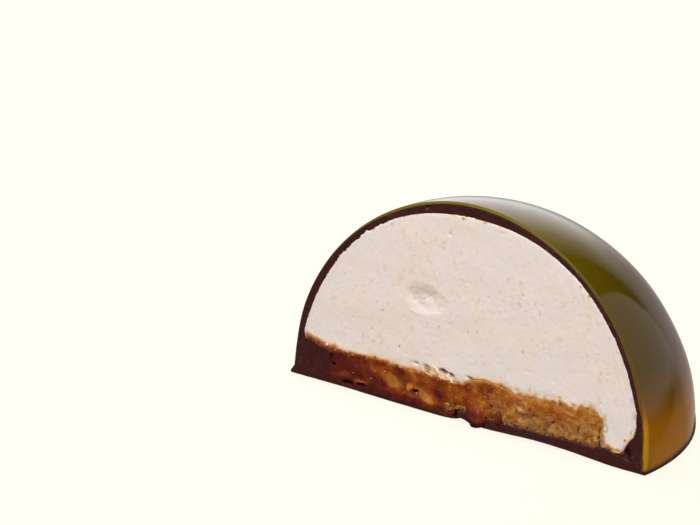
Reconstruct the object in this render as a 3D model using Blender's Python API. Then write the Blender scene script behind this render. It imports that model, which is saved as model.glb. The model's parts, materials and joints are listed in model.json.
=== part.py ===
"""Half of a chocolate-covered marshmallow dome, built as the layers that its knife cut shows.

The whole dome is a moulded shell with a coloured cocoa-butter coat, filled with marshmallow over a disc of
caramel and biscuit, and closed with a chocolate base. A little more than half of it is kept. The knife went
down leaning slightly, in front of the dome's axis, and its cut faces -Y. The origin is on the dome's axis,
on the surface that the underside rests on. +Z is up.

Sizes are in millimetres, and MM turns them to metres where a mesh is made.
"""

import math

import bmesh
import bpy
from mathutils import Matrix, Vector, noise

MM = 0.001

# Outer form of the dome
DOME_RADIUS = 30.3
DOME_HEIGHT = 30.0
DOME_FOOT = 0.2
DOME_SIDE_POWER = 1.928
DOME_TOP_POWER = 2.08

# Wall: the coloured coat, and the chocolate shell between the coat and the filling
COAT_THICKNESS = 0.3
WALL_GAP = 0.2

# The coat ran thicker at the foot beside the right end of the cut
POOL_DEPTH = 0.55
POOL_FULL_HEIGHT = 6.0
POOL_END_HEIGHT = 16.0
POOL_ANGLE = -5.5
POOL_FULL = 8.0
POOL_END = 20.0

FILLING_RADIUS = 29.1
FILLING_HEIGHT = 28.1
FILLING_SIDE_POWER = 2.29
FILLING_TOP_POWER = 1.91
FILLING_CURVE_START = 7.2

# Foot of the wall, as (radius, height) up the shell's inner face, on the right side and at the left corner
FOOT_RIGHT = ((27.6, 0.0), (27.0, 3.0), (27.3, 3.9), (27.8, 5.0), (28.2, 6.1))
FOOT_LEFT = ((27.6, 0.0), (27.2, 5.1), (27.6, 5.4), (28.0, 5.9), (28.2, 6.6))

# Bare chocolate rim under the coat, as (inset, height), and the lip squeezed out at the left corner
RIM = ((0.22, 0.0), (0.08, 0.08), (0.05, 0.32))
RIM_TOP = 0.52
COAT_EDGE = 0.55
LIP_REACH = 0.7
LIP_HEIGHT = 2.0
LIP_STATIONS = (1.1, 2.0)

# Layers of the filling. A slope is the rise for each mm towards the right.
LAYER_GAP = 0.3
DISC_RADIUS = 22.9
BASE_TOP = 1.35
BASE_SLOPE = 0.01
CARAMEL_INSET = 0.1
CARAMEL_TOP = 5.6
CARAMEL_SLOPE = 0.028
BISCUIT_TOP = 3.6
BISCUIT_SLOPE = 0.03
FILLING_CORNER = 0.2

# Thick edge of the base round the disc, with its rounded corners
RING_INNER = 23.2
RING_HEIGHT_RIGHT = 2.1
RING_HEIGHT_LEFT = 5.2
RING_CORNER = 0.4
RING_DRAFT = 0.05
FOOT_CORNER = 0.3

# Skirt of caramel that the knife dragged down over the biscuit's cut face on the left
SKIRT_DEPTH = 1.5
SKIRT_END = 8.5
SKIRT_FADE = 4.0
OPEN_FRONT = 1.8

# Drip of caramel that hangs over the base at the middle of the cut, as (centre, radii) of each bead.
# Centres are given from the knife's plane, so their Y is how far behind it they lie.
DRIP_BEADS = (
    ((2.9, -0.05, 2.95), (1.65, 0.75, 1.15)),
    ((2.9, -0.9, 1.35), (1.4, 0.62, 1.25)),
)
DRIP_TURNS = 14

# Thumb-sized dent in the marshmallow's cut face
DENT_CENTRE = (-7.1, 15.9)
DENT_RADII = (4.0, 3.1)
DENT_DEPTH = 0.8
DENT_STEEPNESS = 1.2

# Rough faces, as (height, width and length of one swell, which pattern)
CARAMEL_TOP_SWELL = (0.4, 3.8, 3.8, 1.7)
BISCUIT_TOP_SWELL = (0.45, 2.6, 2.6, 8.2)
MARSHMALLOW_WAVE = (0.12, 5.0, 5.0, 3.1)
CARAMEL_LUMPS = (0.42, 2.4, 2.0, 5.3)
CARAMEL_RIPPLE = (0.16, 1.1, 1.1, 9.1)
CARAMEL_PROUD = 0.1
BISCUIT_CRUMBS = (0.3, 1.5, 1.3, 2.4)
BISCUIT_ROUGH = (0.35, 1.7, 1.7, 6.6)

# Knife
CUT_OFFSET = -3.05
CUT_LEAN = 0.0786
KNIFE_REACH = 34.0
KNIFE_DEPTH = 40.0
KNIFE_BELOW = 4.0
CARAMEL_KNIFE_TOP = 10.0
BISCUIT_KNIFE_TOP = 8.0
MARSHMALLOW_CELL = 1.7
CARAMEL_CELL = 0.95
BISCUIT_CELL = 0.85
SKIRT_CELL = 2.0
WHOLE_FACE = 70.0

# Angles round the dome, in degrees from its left side
CORNER_FULL = 12.0
CORNER_END = 55.0
LIP_FULL = 8.0
LIP_END = 32.0

# Fineness of the turned surfaces
TURNS = 48
DOME_RINGS = 12
LAYER_RINGS = 11
SHARP_ANGLE = math.radians(40)


def smoothstep(value):
    """0 below 0, 1 above 1 and a smooth rise between."""
    value = min(max(value, 0.0), 1.0)
    return value * value * (3.0 - 2.0 * value)


def mix(right, left, share):
    return right + (left - right) * share


def side_share(angle, full, end):
    """How far a feature of the left corner is in force at an angle round the dome: 1 near -X, 0 away from it."""
    from_left = math.degrees(abs(math.remainder(angle - math.pi, math.tau)))
    return smoothstep((end - from_left) / (end - full))


def corner_share(angle):
    return side_share(angle, CORNER_FULL, CORNER_END)


def swell(rough, across, along):
    """Height of a rough face's soft noise at a place on it."""
    height, width, length, pattern = rough
    return height * noise.noise(Vector((across / width, pattern, along / length)))


def pool_depth(angle, z):
    """How much thicker than elsewhere the coat is at an angle and a height."""
    beside = math.degrees(abs(math.remainder(angle - math.radians(POOL_ANGLE), math.tau)))
    along = smoothstep((POOL_END - beside) / (POOL_END - POOL_FULL))
    up = smoothstep((POOL_END_HEIGHT - z) / (POOL_END_HEIGHT - POOL_FULL_HEIGHT))
    return POOL_DEPTH * along * up


def lip_push(angle, z):
    """How far the rim is pushed out at a height by the lip at the left corner."""
    fall = max(1.0 - z / LIP_HEIGHT, 0.0) ** 2
    return LIP_REACH * fall * side_share(angle, LIP_FULL, LIP_END)


def turned_curve(radius, height, side_power, top_power, foot, start):
    """(radius, height) pairs up a domed curve, from the height start to the apex on the axis."""
    rise = max((start - foot) / (height - foot), 0.0)
    first = math.asin(rise ** (top_power / 2))
    points = []
    for ring in range(DOME_RINGS + 1):
        turn = first + (math.pi / 2 - first) * ring / DOME_RINGS
        out = radius * math.cos(turn) ** (2 / side_power) if ring < DOME_RINGS else 0.0
        points.append((out, foot + (height - foot) * math.sin(turn) ** (2 / top_power)))
    return points


def dome_curve(inset, start):
    """The dome's outer curve, moved in by inset."""
    return turned_curve(
        DOME_RADIUS - inset,
        DOME_HEIGHT - inset,
        DOME_SIDE_POWER,
        DOME_TOP_POWER,
        DOME_FOOT,
        start,
    )


def filling_curve(inset):
    """The curve of the filling's outside, moved in by inset."""
    return turned_curve(
        FILLING_RADIUS - inset,
        FILLING_HEIGHT - inset,
        FILLING_SIDE_POWER,
        FILLING_TOP_POWER,
        0.0,
        FILLING_CURVE_START,
    )


def wall_foot(angle, inset):
    """(radius, height) pairs up the inner face of the shell's thick foot, moved in by inset."""
    share = corner_share(angle)
    return [
        (mix(right[0], left[0], share) - inset, mix(right[1], left[1], share))
        for right, left in zip(FOOT_RIGHT, FOOT_LEFT)
    ]


def base_top(x):
    return BASE_TOP + BASE_SLOPE * x


def ring_height(angle):
    """Height of the base's thick edge: low on the right, and a solid corner on the left."""
    return mix(RING_HEIGHT_RIGHT, RING_HEIGHT_LEFT, corner_share(angle))


def caramel_top(x, y):
    """Height of the caramel's uneven top, which the marshmallow was piped onto."""
    return CARAMEL_TOP + CARAMEL_SLOPE * x + swell(CARAMEL_TOP_SWELL, x, y)


def biscuit_top(x, y):
    """Height of the biscuit's rough top."""
    return BISCUIT_TOP + BISCUIT_SLOPE * x + swell(BISCUIT_TOP_SWELL, x, y)


def disc_stations(radius):
    return [radius * ring / LAYER_RINGS for ring in range(LAYER_RINGS + 1)]


def coat_section(angle):
    """The coat's section from its apex, down the outside, round its edge and up the inside."""
    edge = mix(COAT_EDGE, LIP_HEIGHT + 0.1, side_share(angle, LIP_FULL, LIP_END))
    outer = dome_curve(0.0, edge)
    inner = [(max(r - pool_depth(angle, z), 0.0), z) for r, z in dome_curve(COAT_THICKNESS, edge)]
    return outer[::-1] + inner


def shell_section(angle):
    """The shell's section from its apex, down the outside, round its rim and foot and up the inside."""
    inset = COAT_THICKNESS + WALL_GAP
    outer = dome_curve(inset, LIP_STATIONS[-1])[::-1]
    outer += [dome_curve(inset, z)[0] for z in (*LIP_STATIONS[-2::-1], RIM_TOP)]
    outer = [(max(r - pool_depth(angle, z), 0.0), z) for r, z in outer]
    outer += [(DOME_RADIUS - bare, z) for bare, z in RIM[::-1]]
    outer = [(r + lip_push(angle, z), z) for r, z in outer]
    return outer + wall_foot(angle, 0.0) + filling_curve(-WALL_GAP / 2)


def base_section(angle):
    """The base's section from the axis, out along the underside, up its edge and back over its top."""
    foot = wall_foot(angle, LAYER_GAP)
    top = ring_height(angle)
    reach = foot[1][0]
    right = math.cos(angle)
    return [
        (0.0, 0.0),
        (foot[0][0] - FOOT_CORNER, 0.0),
        (foot[0][0], FOOT_CORNER),
        (reach, top - RING_CORNER),
        (reach - RING_CORNER, top - RING_DRAFT),
        (RING_INNER + RING_CORNER, top),
        (RING_INNER, top - RING_CORNER),
        (RING_INNER - RING_DRAFT, base_top(RING_INNER * right)),
        (0.0, base_top(0.0)),
    ]


def marshmallow_section(angle):
    """The marshmallow's section from its apex, down its side and back over its underside."""
    ring = ring_height(angle) + LAYER_GAP
    side = [(r, max(z, ring + FILLING_CORNER)) for r, z in wall_foot(angle, WALL_GAP)[:0:-1]]
    right, back = math.cos(angle), math.sin(angle)
    step = RING_INNER - FILLING_CORNER
    under = [(r, caramel_top(r * right, r * back) + LAYER_GAP) for r in disc_stations(step)[::-1]]
    corner = [(side[-1][0] - FILLING_CORNER, ring), (RING_INNER, ring)]
    return filling_curve(WALL_GAP / 2)[::-1] + side + corner + under


def caramel_section(angle):
    """The caramel's section, top to bottom. The biscuit is taken out of it afterwards."""
    right, back = math.cos(angle), math.sin(angle)
    radius = DISC_RADIUS - CARAMEL_INSET
    top = [(r, caramel_top(r * right, r * back)) for r in disc_stations(radius)]
    floor = base_top(radius * right) + LAYER_GAP
    return top + [(radius, floor), (0.0, base_top(0.0) + LAYER_GAP)]


def biscuit_section(angle, grow=0.0):
    """The biscuit's section, top to bottom, or with grow the room that it takes in the caramel."""
    right, back = math.cos(angle), math.sin(angle)
    top = [(r, biscuit_top(r * right, r * back) + grow) for r in disc_stations(DISC_RADIUS + grow)]
    floor = base_top(DISC_RADIUS * right) + LAYER_GAP - 2 * grow
    return top + [(DISC_RADIUS + grow, floor), (0.0, base_top(0.0) + LAYER_GAP - 2 * grow)]


def grown_biscuit_section(angle):
    return biscuit_section(angle, LAYER_GAP)


def cut_plane(z):
    """Y of the knife's plane at a height."""
    return CUT_OFFSET + CUT_LEAN * z


def flat_cut(x, z):
    return 0.0


def marshmallow_cut(x, z):
    """How far behind the knife's plane the marshmallow's cut face lies: soft waves and one dent."""
    across = (x - DENT_CENTRE[0]) / DENT_RADII[0]
    up = (z - DENT_CENTRE[1]) / DENT_RADII[1]
    dent = DENT_DEPTH * smoothstep(DENT_STEEPNESS * (1.0 - math.hypot(across, up)))
    return swell(MARSHMALLOW_WAVE, x, z) + dent


def caramel_cut(x, z):
    """The caramel's lumpy cut face, which bulges and sags like thick syrup."""
    return swell(CARAMEL_LUMPS, x, z) + swell(CARAMEL_RIPPLE, x, z) - CARAMEL_PROUD


def skirt_share(x):
    """1 on the left, where caramel was dragged down over the biscuit's cut face, and 0 on the right."""
    return smoothstep((SKIRT_END - x) / SKIRT_FADE)


def biscuit_cut(x, z):
    """The biscuit's cut face: crumbly on the right, and set back behind the caramel on the left."""
    height, width, length, pattern = BISCUIT_CRUMBS
    crumbs = height * noise.cell(Vector((x / width, pattern, z / length)))
    return mix(crumbs + swell(BISCUIT_ROUGH, x, z), SKIRT_DEPTH, skirt_share(x))


def biscuit_room_cut(x, z):
    """Front of the biscuit's room: behind a skirt of caramel on the left, and open on the right."""
    return mix(-OPEN_FRONT, SKIRT_DEPTH - LAYER_GAP, skirt_share(x))


def finish(name, colour, roughness, metallic=0.0):
    """A plain Principled BSDF material."""
    material = bpy.data.materials.new(name)
    material.use_nodes = True
    shader = material.node_tree.nodes["Principled BSDF"]
    shader.inputs["Base Color"].default_value = (*colour, 1.0)
    shader.inputs["Roughness"].default_value = roughness
    shader.inputs["Metallic"].default_value = metallic
    material.diffuse_color = (*colour, 1.0)
    return material


def object_from(bm, name, material=None):
    """Turns a bmesh in millimetres into an object in metres, with its faces pointing out."""
    bmesh.ops.remove_doubles(bm, verts=bm.verts, dist=1e-4)
    bmesh.ops.recalc_face_normals(bm, faces=bm.faces)
    bmesh.ops.scale(bm, vec=(MM, MM, MM), verts=bm.verts)
    mesh = bpy.data.meshes.new(name)
    bm.to_mesh(mesh)
    bm.free()
    mesh.shade_smooth()
    mesh.set_sharp_from_angle(angle=SHARP_ANGLE)
    made = bpy.data.objects.new(name, mesh)
    bpy.context.scene.collection.objects.link(made)
    if material:
        mesh.materials.append(material)
    return made


def turned_piece(name, section, material=None):
    """Spins a section round the dome's axis, then sets each of its stations for its own angle."""
    bm = bmesh.new()
    station = bm.verts.layers.int.new("station")
    verts = []
    for index, (r, z) in enumerate(section(0.0)):
        vert = bm.verts.new((r, 0.0, z))
        vert[station] = index
        verts.append(vert)
    edges = [bm.edges.new(pair) for pair in zip(verts, verts[1:])]
    bmesh.ops.spin(
        bm,
        geom=verts + edges,
        cent=(0, 0, 0),
        axis=(0, 0, 1),
        angle=math.tau,
        steps=TURNS,
        use_merge=True,
    )
    sections = [section(math.tau * turn / TURNS) for turn in range(TURNS)]
    for vert in bm.verts:
        turn = round(math.atan2(vert.co.y, vert.co.x) * TURNS / math.tau) % TURNS
        r, z = sections[turn][vert[station]]
        angle = math.tau * turn / TURNS
        vert.co = (r * math.cos(angle), r * math.sin(angle), z)
    return object_from(bm, name, material)


def helper(made):
    """Marks a cutter or a guide, which isn't a piece of the object."""
    made.hide_render = True
    made.display_type = "WIRE"
    return made


def knife(name, cell, depth_at, top=KNIFE_REACH):
    """A block in front of the cut, whose back face is the surface that the cut leaves."""
    across = max(round(2 * KNIFE_REACH / cell), 1)
    up = max(round((top + KNIFE_BELOW) / cell), 1)
    bm = bmesh.new()
    bmesh.ops.create_grid(bm, x_segments=across, y_segments=up, size=1.0)
    placed = (
        Matrix.Translation((0, 0, (top - KNIFE_BELOW) / 2))
        @ Matrix.Rotation(math.pi / 2, 4, "X")
        @ Matrix.Diagonal((KNIFE_REACH, (top + KNIFE_BELOW) / 2, 1.0, 1.0))
    )
    bmesh.ops.transform(bm, matrix=placed, verts=bm.verts)
    surface = list(bm.verts)
    block = bmesh.ops.extrude_face_region(bm, geom=bm.faces[:])
    front = [item for item in block["geom"] if isinstance(item, bmesh.types.BMVert)]
    bmesh.ops.translate(bm, vec=(0, -KNIFE_DEPTH, 0), verts=front)
    for vert in surface:
        vert.co.y = cut_plane(vert.co.z) + depth_at(vert.co.x, vert.co.z)
    return helper(object_from(bm, name))


def drip():
    """The beads of caramel that hang over the base, one helper each."""
    beads = []
    for index, (centre, radii) in enumerate(DRIP_BEADS):
        x, behind, z = centre
        bm = bmesh.new()
        bmesh.ops.create_uvsphere(bm, u_segments=DRIP_TURNS, v_segments=DRIP_TURNS // 2, radius=1.0)
        placed = Matrix.Translation((x, cut_plane(z) + behind, z)) @ Matrix.Diagonal((*radii, 1.0))
        bmesh.ops.transform(bm, matrix=placed, verts=bm.verts)
        beads.append(helper(object_from(bm, f"drip_bead_{index}")))
    return beads


def combine(piece, other, operation):
    """Adds a Boolean of one piece with a helper."""
    modifier = piece.modifiers.new(f"{operation.lower()} {other.name}", "BOOLEAN")
    modifier.operation = operation
    modifier.solver = "EXACT"
    modifier.object = other


def clear_scene():
    for item in list(bpy.data.objects):
        bpy.data.objects.remove(item, do_unlink=True)


def build_wall(flat):
    """The coloured coat, and the chocolate shell inside it."""
    coat = turned_piece(
        "coloured_coat", coat_section, finish("painted cocoa butter", (0.12, 0.09, 0.008), 0.15)
    )
    shell = turned_piece(
        "chocolate_shell", shell_section, finish("dark chocolate", (0.035, 0.011, 0.011), 0.4)
    )
    combine(coat, flat, "DIFFERENCE")
    combine(shell, flat, "DIFFERENCE")


def build_base(flat):
    """The chocolate base with its thick edge."""
    base = turned_piece(
        "chocolate_base", base_section, finish("base chocolate", (0.04, 0.013, 0.012), 0.4)
    )
    combine(base, flat, "DIFFERENCE")


def build_filling():
    """The marshmallow over the disc of caramel and biscuit."""
    marshmallow = turned_piece(
        "marshmallow", marshmallow_section, finish("whipped marshmallow", (0.76, 0.67, 0.60), 0.65)
    )
    combine(marshmallow, knife("marshmallow_knife", MARSHMALLOW_CELL, marshmallow_cut), "DIFFERENCE")

    biscuit = turned_piece("biscuit", biscuit_section, finish("baked biscuit", (0.42, 0.19, 0.04), 0.8))
    biscuit_knife = knife("biscuit_knife", BISCUIT_CELL, biscuit_cut, BISCUIT_KNIFE_TOP)
    combine(biscuit, biscuit_knife, "DIFFERENCE")

    room = helper(turned_piece("biscuit_room", grown_biscuit_section))
    room_knife = knife("biscuit_room_knife", SKIRT_CELL, biscuit_room_cut, BISCUIT_KNIFE_TOP)
    combine(room, room_knife, "DIFFERENCE")

    caramel = turned_piece("caramel", caramel_section, finish("soft caramel", (0.24, 0.055, 0.012), 0.2))
    caramel_knife = knife("caramel_knife", CARAMEL_CELL, caramel_cut, CARAMEL_KNIFE_TOP)
    combine(caramel, caramel_knife, "DIFFERENCE")
    for bead in drip():
        combine(caramel, bead, "UNION")
    combine(caramel, room, "DIFFERENCE")


def main():
    clear_scene()
    flat = knife("flat_knife", WHOLE_FACE, flat_cut)
    build_wall(flat)
    build_base(flat)
    build_filling()


main()
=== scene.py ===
"""Looks of half a chocolate-covered marshmallow dome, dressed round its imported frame.

The half was cut with a knife that leaned a little, and its cut faces -Y. From outside to inside it shows a
coat of painted cocoa butter, a dark chocolate shell, whipped marshmallow, and a disc of soft caramel over
baked biscuit on a chocolate base. The origin is on the dome's axis at the underside, and +Z is up.

Sizes are in millimetres. MM turns them to metres where a mesh is finished.
"""

import json
import logging
import math
import random
from collections.abc import Callable, Iterator, Sequence
from dataclasses import dataclass, replace
from enum import Enum
from typing import ClassVar

import bmesh
import bpy
from mathutils import Euler, Matrix, Vector, noise

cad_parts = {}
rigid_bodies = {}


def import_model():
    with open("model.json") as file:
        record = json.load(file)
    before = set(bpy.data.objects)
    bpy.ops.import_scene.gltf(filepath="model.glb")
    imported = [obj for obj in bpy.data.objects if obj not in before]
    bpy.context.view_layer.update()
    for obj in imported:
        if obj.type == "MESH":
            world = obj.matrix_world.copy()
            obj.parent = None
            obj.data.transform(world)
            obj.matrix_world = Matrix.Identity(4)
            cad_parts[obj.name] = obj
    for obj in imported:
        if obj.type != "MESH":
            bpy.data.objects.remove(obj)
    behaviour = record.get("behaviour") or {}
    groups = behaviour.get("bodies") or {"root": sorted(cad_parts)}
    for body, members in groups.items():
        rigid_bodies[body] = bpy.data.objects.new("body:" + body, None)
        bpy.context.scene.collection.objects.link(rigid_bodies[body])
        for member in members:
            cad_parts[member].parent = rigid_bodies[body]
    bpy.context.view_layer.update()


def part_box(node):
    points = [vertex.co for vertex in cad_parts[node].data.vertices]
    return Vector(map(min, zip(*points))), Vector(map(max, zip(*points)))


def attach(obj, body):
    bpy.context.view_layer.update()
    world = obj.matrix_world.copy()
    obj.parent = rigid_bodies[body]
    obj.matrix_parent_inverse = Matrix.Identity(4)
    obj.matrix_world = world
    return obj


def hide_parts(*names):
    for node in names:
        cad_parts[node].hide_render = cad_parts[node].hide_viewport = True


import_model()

LOG = logging.getLogger("marshmallow")
MM = 0.001

Place = Callable[[float, float, float], Vector]
Curve = Callable[[float], float]
Tints = dict[str, Callable[[Vector], float]]
Socket = bpy.types.NodeSocket
Tree = bpy.types.NodeTree
Mesh = bmesh.types.BMesh
Zones = tuple[tuple[float, float, float, float, int], ...]


class Slot(Enum):
    """The record's material slots, by the finish that each one names."""

    PAINT = "painted_cocoa_butter"
    SHELL = "dark_chocolate"
    BASE = "base_chocolate"
    MARSHMALLOW = "whipped_marshmallow"
    CARAMEL = "soft_caramel"
    BISCUIT = "baked_biscuit"


def smoothstep(value: float) -> float:
    """0 below 0, 1 above 1 and a smooth rise between."""
    value = min(max(value, 0.0), 1.0)
    return value * value * (3.0 - 2.0 * value)


def fade(value: float, start: float, end: float) -> float:
    """How far a value has gone from start to end, eased at both.

    Args:
        value: The value to judge.
        start: Where the share is 0.
        end: Where the share is 1. It may be less than start.

    Returns:
        The share, from 0 to 1.
    """
    return smoothstep((value - start) / (end - start))


def mix(first: float, second: float, share: float) -> float:
    """The value a share of the way from first to second."""
    return first + (second - first) * share


def ripple(x: float, z: float, size: float, layer: float) -> float:
    """Soft noise between about -1 and 1 on the cut face.

    Args:
        x: Place across the cut.
        z: Height.
        size: Width of one swell.
        layer: Which independent pattern to read.

    Returns:
        The height of the noise there.
    """
    return noise.noise(Vector((x / size, layer, z / size)))


def curve_through(points: Sequence[tuple[float, float]]) -> Curve:
    """A smooth curve through a few places along a line.

    Args:
        points: (place, value) pairs with rising places.

    Returns:
        A function from place to value, constant past both ends.
    """
    places = [place for place, _ in points]
    values = [value for _, value in points]
    last = len(points) - 1
    slopes = []
    for index in range(last + 1):
        low, high = max(index - 1, 0), min(index + 1, last)
        slopes.append((values[high] - values[low]) / (places[high] - places[low]))

    def value_at(place: float) -> float:
        """Value of the curve at a place."""
        place = min(max(place, places[0]), places[last])
        index = next((i for i in range(last) if place <= places[i + 1]), last - 1)
        span = places[index + 1] - places[index]
        t = (place - places[index]) / span
        start = (1 + 2 * t) * (1 - t) ** 2 * values[index] + t * (1 - t) ** 2 * span * slopes[index]
        end = t * t * (3 - 2 * t) * values[index + 1] + t * t * (t - 1) * span * slopes[index + 1]
        return start + end

    return value_at


@dataclass(frozen=True)
class Knife:
    """The plane of the knife, which stands at offset on the floor and leans back by lean for each mm up."""

    offset: float = -3.05
    lean: float = 0.0786

    def y_at(self, z: float) -> float:
        """Y of the plane at a height."""
        return self.offset + self.lean * z

    def on_face(self, x: float, z: float, depth: float = 0.0) -> Vector:
        """A point on the plane, or a depth behind it."""
        return Vector((x, self.y_at(z) + depth, z))

    def angle_of(self, x: float, z: float) -> float:
        """Angle round the dome of a point on the plane, from +X."""
        return math.atan2(self.y_at(z), x)


@dataclass(frozen=True)
class TurnedCurve:
    """A domed curve that is turned round the axis."""

    radius: float
    height: float
    side_power: float
    top_power: float
    foot: float = 0.0

    def radius_at(self, z: float) -> float:
        """Radius of the dome at a height."""
        rise = min(max((z - self.foot) / (self.height - self.foot), 0.0), 1.0)
        return self.radius * (1.0 - rise**self.top_power) ** (1.0 / self.side_power)

    def height_at(self, radius: float) -> float:
        """Height of the dome at a radius."""
        out = min(radius / self.radius, 1.0)
        rise = (1.0 - out**self.side_power) ** (1.0 / self.top_power)
        return self.foot + (self.height - self.foot) * rise

    def inset(self, depth: float) -> "TurnedCurve":
        """The same curve, moved in by a depth."""
        return replace(self, radius=self.radius - depth, height=self.height - depth)


@dataclass(frozen=True)
class Spot:
    """A soft oval feature of the cut face: a lump, a pit or a stain.

    rise is how far it stands proud, and is negative for a pit. tint is how strongly it colours the face.
    lean turns its long way up from +X, in degrees. flat is the share of it that has its full strength.
    """

    x: float
    z: float
    wide: float
    tall: float
    rise: float = 0.0
    tint: float = 0.0
    lean: float = 0.0
    flat: float = 0.0

    def share(self, x: float, z: float) -> float:
        """Strength of the feature at a point, from 0 to 1."""
        across, up = x - self.x, z - self.z
        if abs(across) + abs(up) > self.wide + self.tall:
            return 0.0
        turn = math.radians(self.lean)
        along = (across * math.cos(turn) + up * math.sin(turn)) / self.wide
        over = (up * math.cos(turn) - across * math.sin(turn)) / self.tall
        return smoothstep((1.0 - math.hypot(along, over)) / (1.0 - self.flat))


def spots(*rows: tuple[float, ...]) -> tuple[Spot, ...]:
    """Spots from rows of their x, z, wide, tall, rise, tint, lean and flat."""
    return tuple(Spot(*row) for row in rows)


def stains(*rows: tuple[float, ...]) -> tuple[Spot, ...]:
    """Spots that only colour the face, from rows of their x, z, wide, tall, tint, lean and flat."""
    return tuple(Spot(*row[:4], 0.0, *row[4:]) for row in rows)


KNIFE = Knife()
COAT_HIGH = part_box("coloured_coat")[1] / MM
DISC_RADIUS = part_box("biscuit")[1].x / MM
CARAMEL_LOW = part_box("caramel")[0].z / MM
DOME = TurnedCurve(COAT_HIGH.x, COAT_HIGH.z, 1.928, 2.08, 0.2)
FILLING = TurnedCurve(29.1, 28.1, 2.29, 1.91)
FILLING_START = 7.4
COAT_THICKNESS = 0.42
CUT_END = -0.09
CORNER_ANGLES = (12.0, 55.0)
LIP_ANGLES = (8.0, 32.0)
THIN_COAT_ANGLES = (25.0, 70.0)
LIP_REACH = 0.95
LIP_HEIGHT = 1.4
RIDGE_ANGLE = math.radians(33.0)
RIDGE_SPREAD = math.radians(17.0)
KNIFE_CLEARANCE = 0.6

# Radius of the shell's inner face up its foot, and the coat's thickness up the cut, at each end of the cut
FOOT_RIGHT = curve_through(
    ((0, 27.2), (2, 26.7), (3, 26.9), (3.9, 27.45), (5, 28.1), (6.1, 28.15), (FILLING_START, 28.1))
)
FOOT_LEFT = curve_through(
    ((0, 27.6), (5.1, 27.2), (5.4, 27.6), (5.9, 28), (6.6, 28.2), (FILLING_START, 28.1))
)
COAT_RIGHT = curve_through((
    (0, 0.8), (1.5, 0.95), (3.2, 0.8), (4.3, 0.7), (5.5, 0.95), (7, 0.6), (9, 0.75), (18, 0.5),
    (24, 0.42),
))
COAT_LEFT = curve_through(((0, 0.09), (9, 0.1), (17, 0.13), (24, 0.23), (27, 0.36)))

# Height of the worn lower edge and of the disc's top along the cut
FLOOR_WEAR = curve_through((
    (-30.2, 0.02), (-21, 0.1), (-13, 0.02), (-3, 0), (-0.4, 0.2), (0.6, 0.5), (2.7, 0.05), (7.7, 0.16),
    (12.6, 0.4), (17.4, 0.37), (24.9, 0), (29.4, 0),
))
DISC_TOP = curve_through((
    (-28, 5.8), (-26.7, 5.35), (-25.1, 5), (-23.3, 4.65), (-22.3, 5), (-19, 5.25), (-13.5, 5.45),
    (-10, 5.3), (-7.7, 5.25), (-4.6, 5.35), (-2.2, 5.15), (0.2, 5.3), (2.2, 6.15), (3.5, 6.45),
    (7.3, 6.4), (9, 5.8), (13, 6.1), (16.5, 6.35), (18.4, 6.2), (21.3, 6.55), (22.8, 5.7),
))


def left_share(angle: float, limits: tuple[float, float]) -> float:
    """How far a feature of the left corner is in force at an angle round the dome.

    Args:
        angle: Angle from +X, in radians.
        limits: Degrees from the left side to which it is whole, and at which it ends.

    Returns:
        1 near -X, and 0 away from it.
    """
    from_left = math.degrees(abs(math.remainder(angle - math.pi, math.tau)))
    return fade(from_left, limits[1], limits[0])


def ridge_share(angle: float) -> float:
    """Strength of the low ridge of bare chocolate at the foot behind the right end."""
    return fade(abs(math.remainder(angle - RIDGE_ANGLE, math.tau)), RIDGE_SPREAD, 0.0)


def slump(angle: float, z: float) -> float:
    """How far the dome's side lies inside its turned curve: behind the right end and above the left lip."""
    from_right = math.degrees(math.remainder(angle, math.tau))
    behind = fade(from_right, 4.0, 30.0) * fade(from_right, 150.0, 110.0)
    shoulder = 0.3 * fade(z, 6.0, 15.0) * fade(z, 29.0, 23.0)
    corner = 0.34 * fade(z, 12.0, 3.0) * left_share(angle, LIP_ANGLES)
    return shoulder * behind + corner


def shell_inner(angle: float, z: float) -> float:
    """Radius of the shell's inner face, which is also the filling's side."""
    if z >= FILLING_START:
        return FILLING.radius_at(z)
    return mix(FOOT_RIGHT(z), FOOT_LEFT(z), left_share(angle, CORNER_ANGLES))


def coat_depth(angle: float, z: float) -> float:
    """Thickness of the coat, which ran thicker beside the right end of the cut and thin at the left."""
    beside = fade(abs(math.remainder(angle - CUT_END, math.tau)), 0.32, 0.1)
    depth = mix(COAT_THICKNESS, COAT_RIGHT(z), beside)
    return mix(depth, COAT_LEFT(z), left_share(angle, THIN_COAT_ANGLES))


def disc_outside(x: float, z: float) -> float:
    """Distance outside the disc of caramel and biscuit on the cut face, negative inside it."""
    return max(z - DISC_TOP(x), x - DISC_RADIUS)


def crag(x: float, z: float) -> float:
    """Relief that the caramel, the biscuit and the foam beside them share, so that they meet flush."""
    return 0.09 * ripple(x, z, 2.6, 5.3) + 0.05 * ripple(x, z, 1.1, 9.1) + 0.03 * ripple(x, z, 0.5, 2.6)


def fray(x: float, z: float) -> float:
    """How far the frayed edge of the disc wanders: in upright fibres on the right, gently elsewhere."""
    fibres = ripple(x / 0.6, z / 2.0, 1.0, 4.9)
    loose = 0.3 * ripple(x, z, 1.3, 1.1) + 0.16 * ripple(x, z, 0.5, 1.7)
    return loose * mix(1.7, 1.0, fade(x, 1.0, 5.0)) + 0.28 * fibres * fade(x, 5.0, 9.0)


# Setting of a MapRange node that eases both its ends
EASED = {"interpolation_type": "SMOOTHSTEP"}


def linear(colour: str) -> tuple[float, float, float, float]:
    """Turns an sRGB hex colour such as "#8a5426" to linear red, green, blue and alpha."""
    values = [int(colour[place : place + 2], 16) / 255 for place in (1, 3, 5)]
    turned = [v / 12.92 if v <= 0.04045 else ((v + 0.055) / 1.055) ** 2.4 for v in values]
    return (*turned, 1.0)


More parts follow.
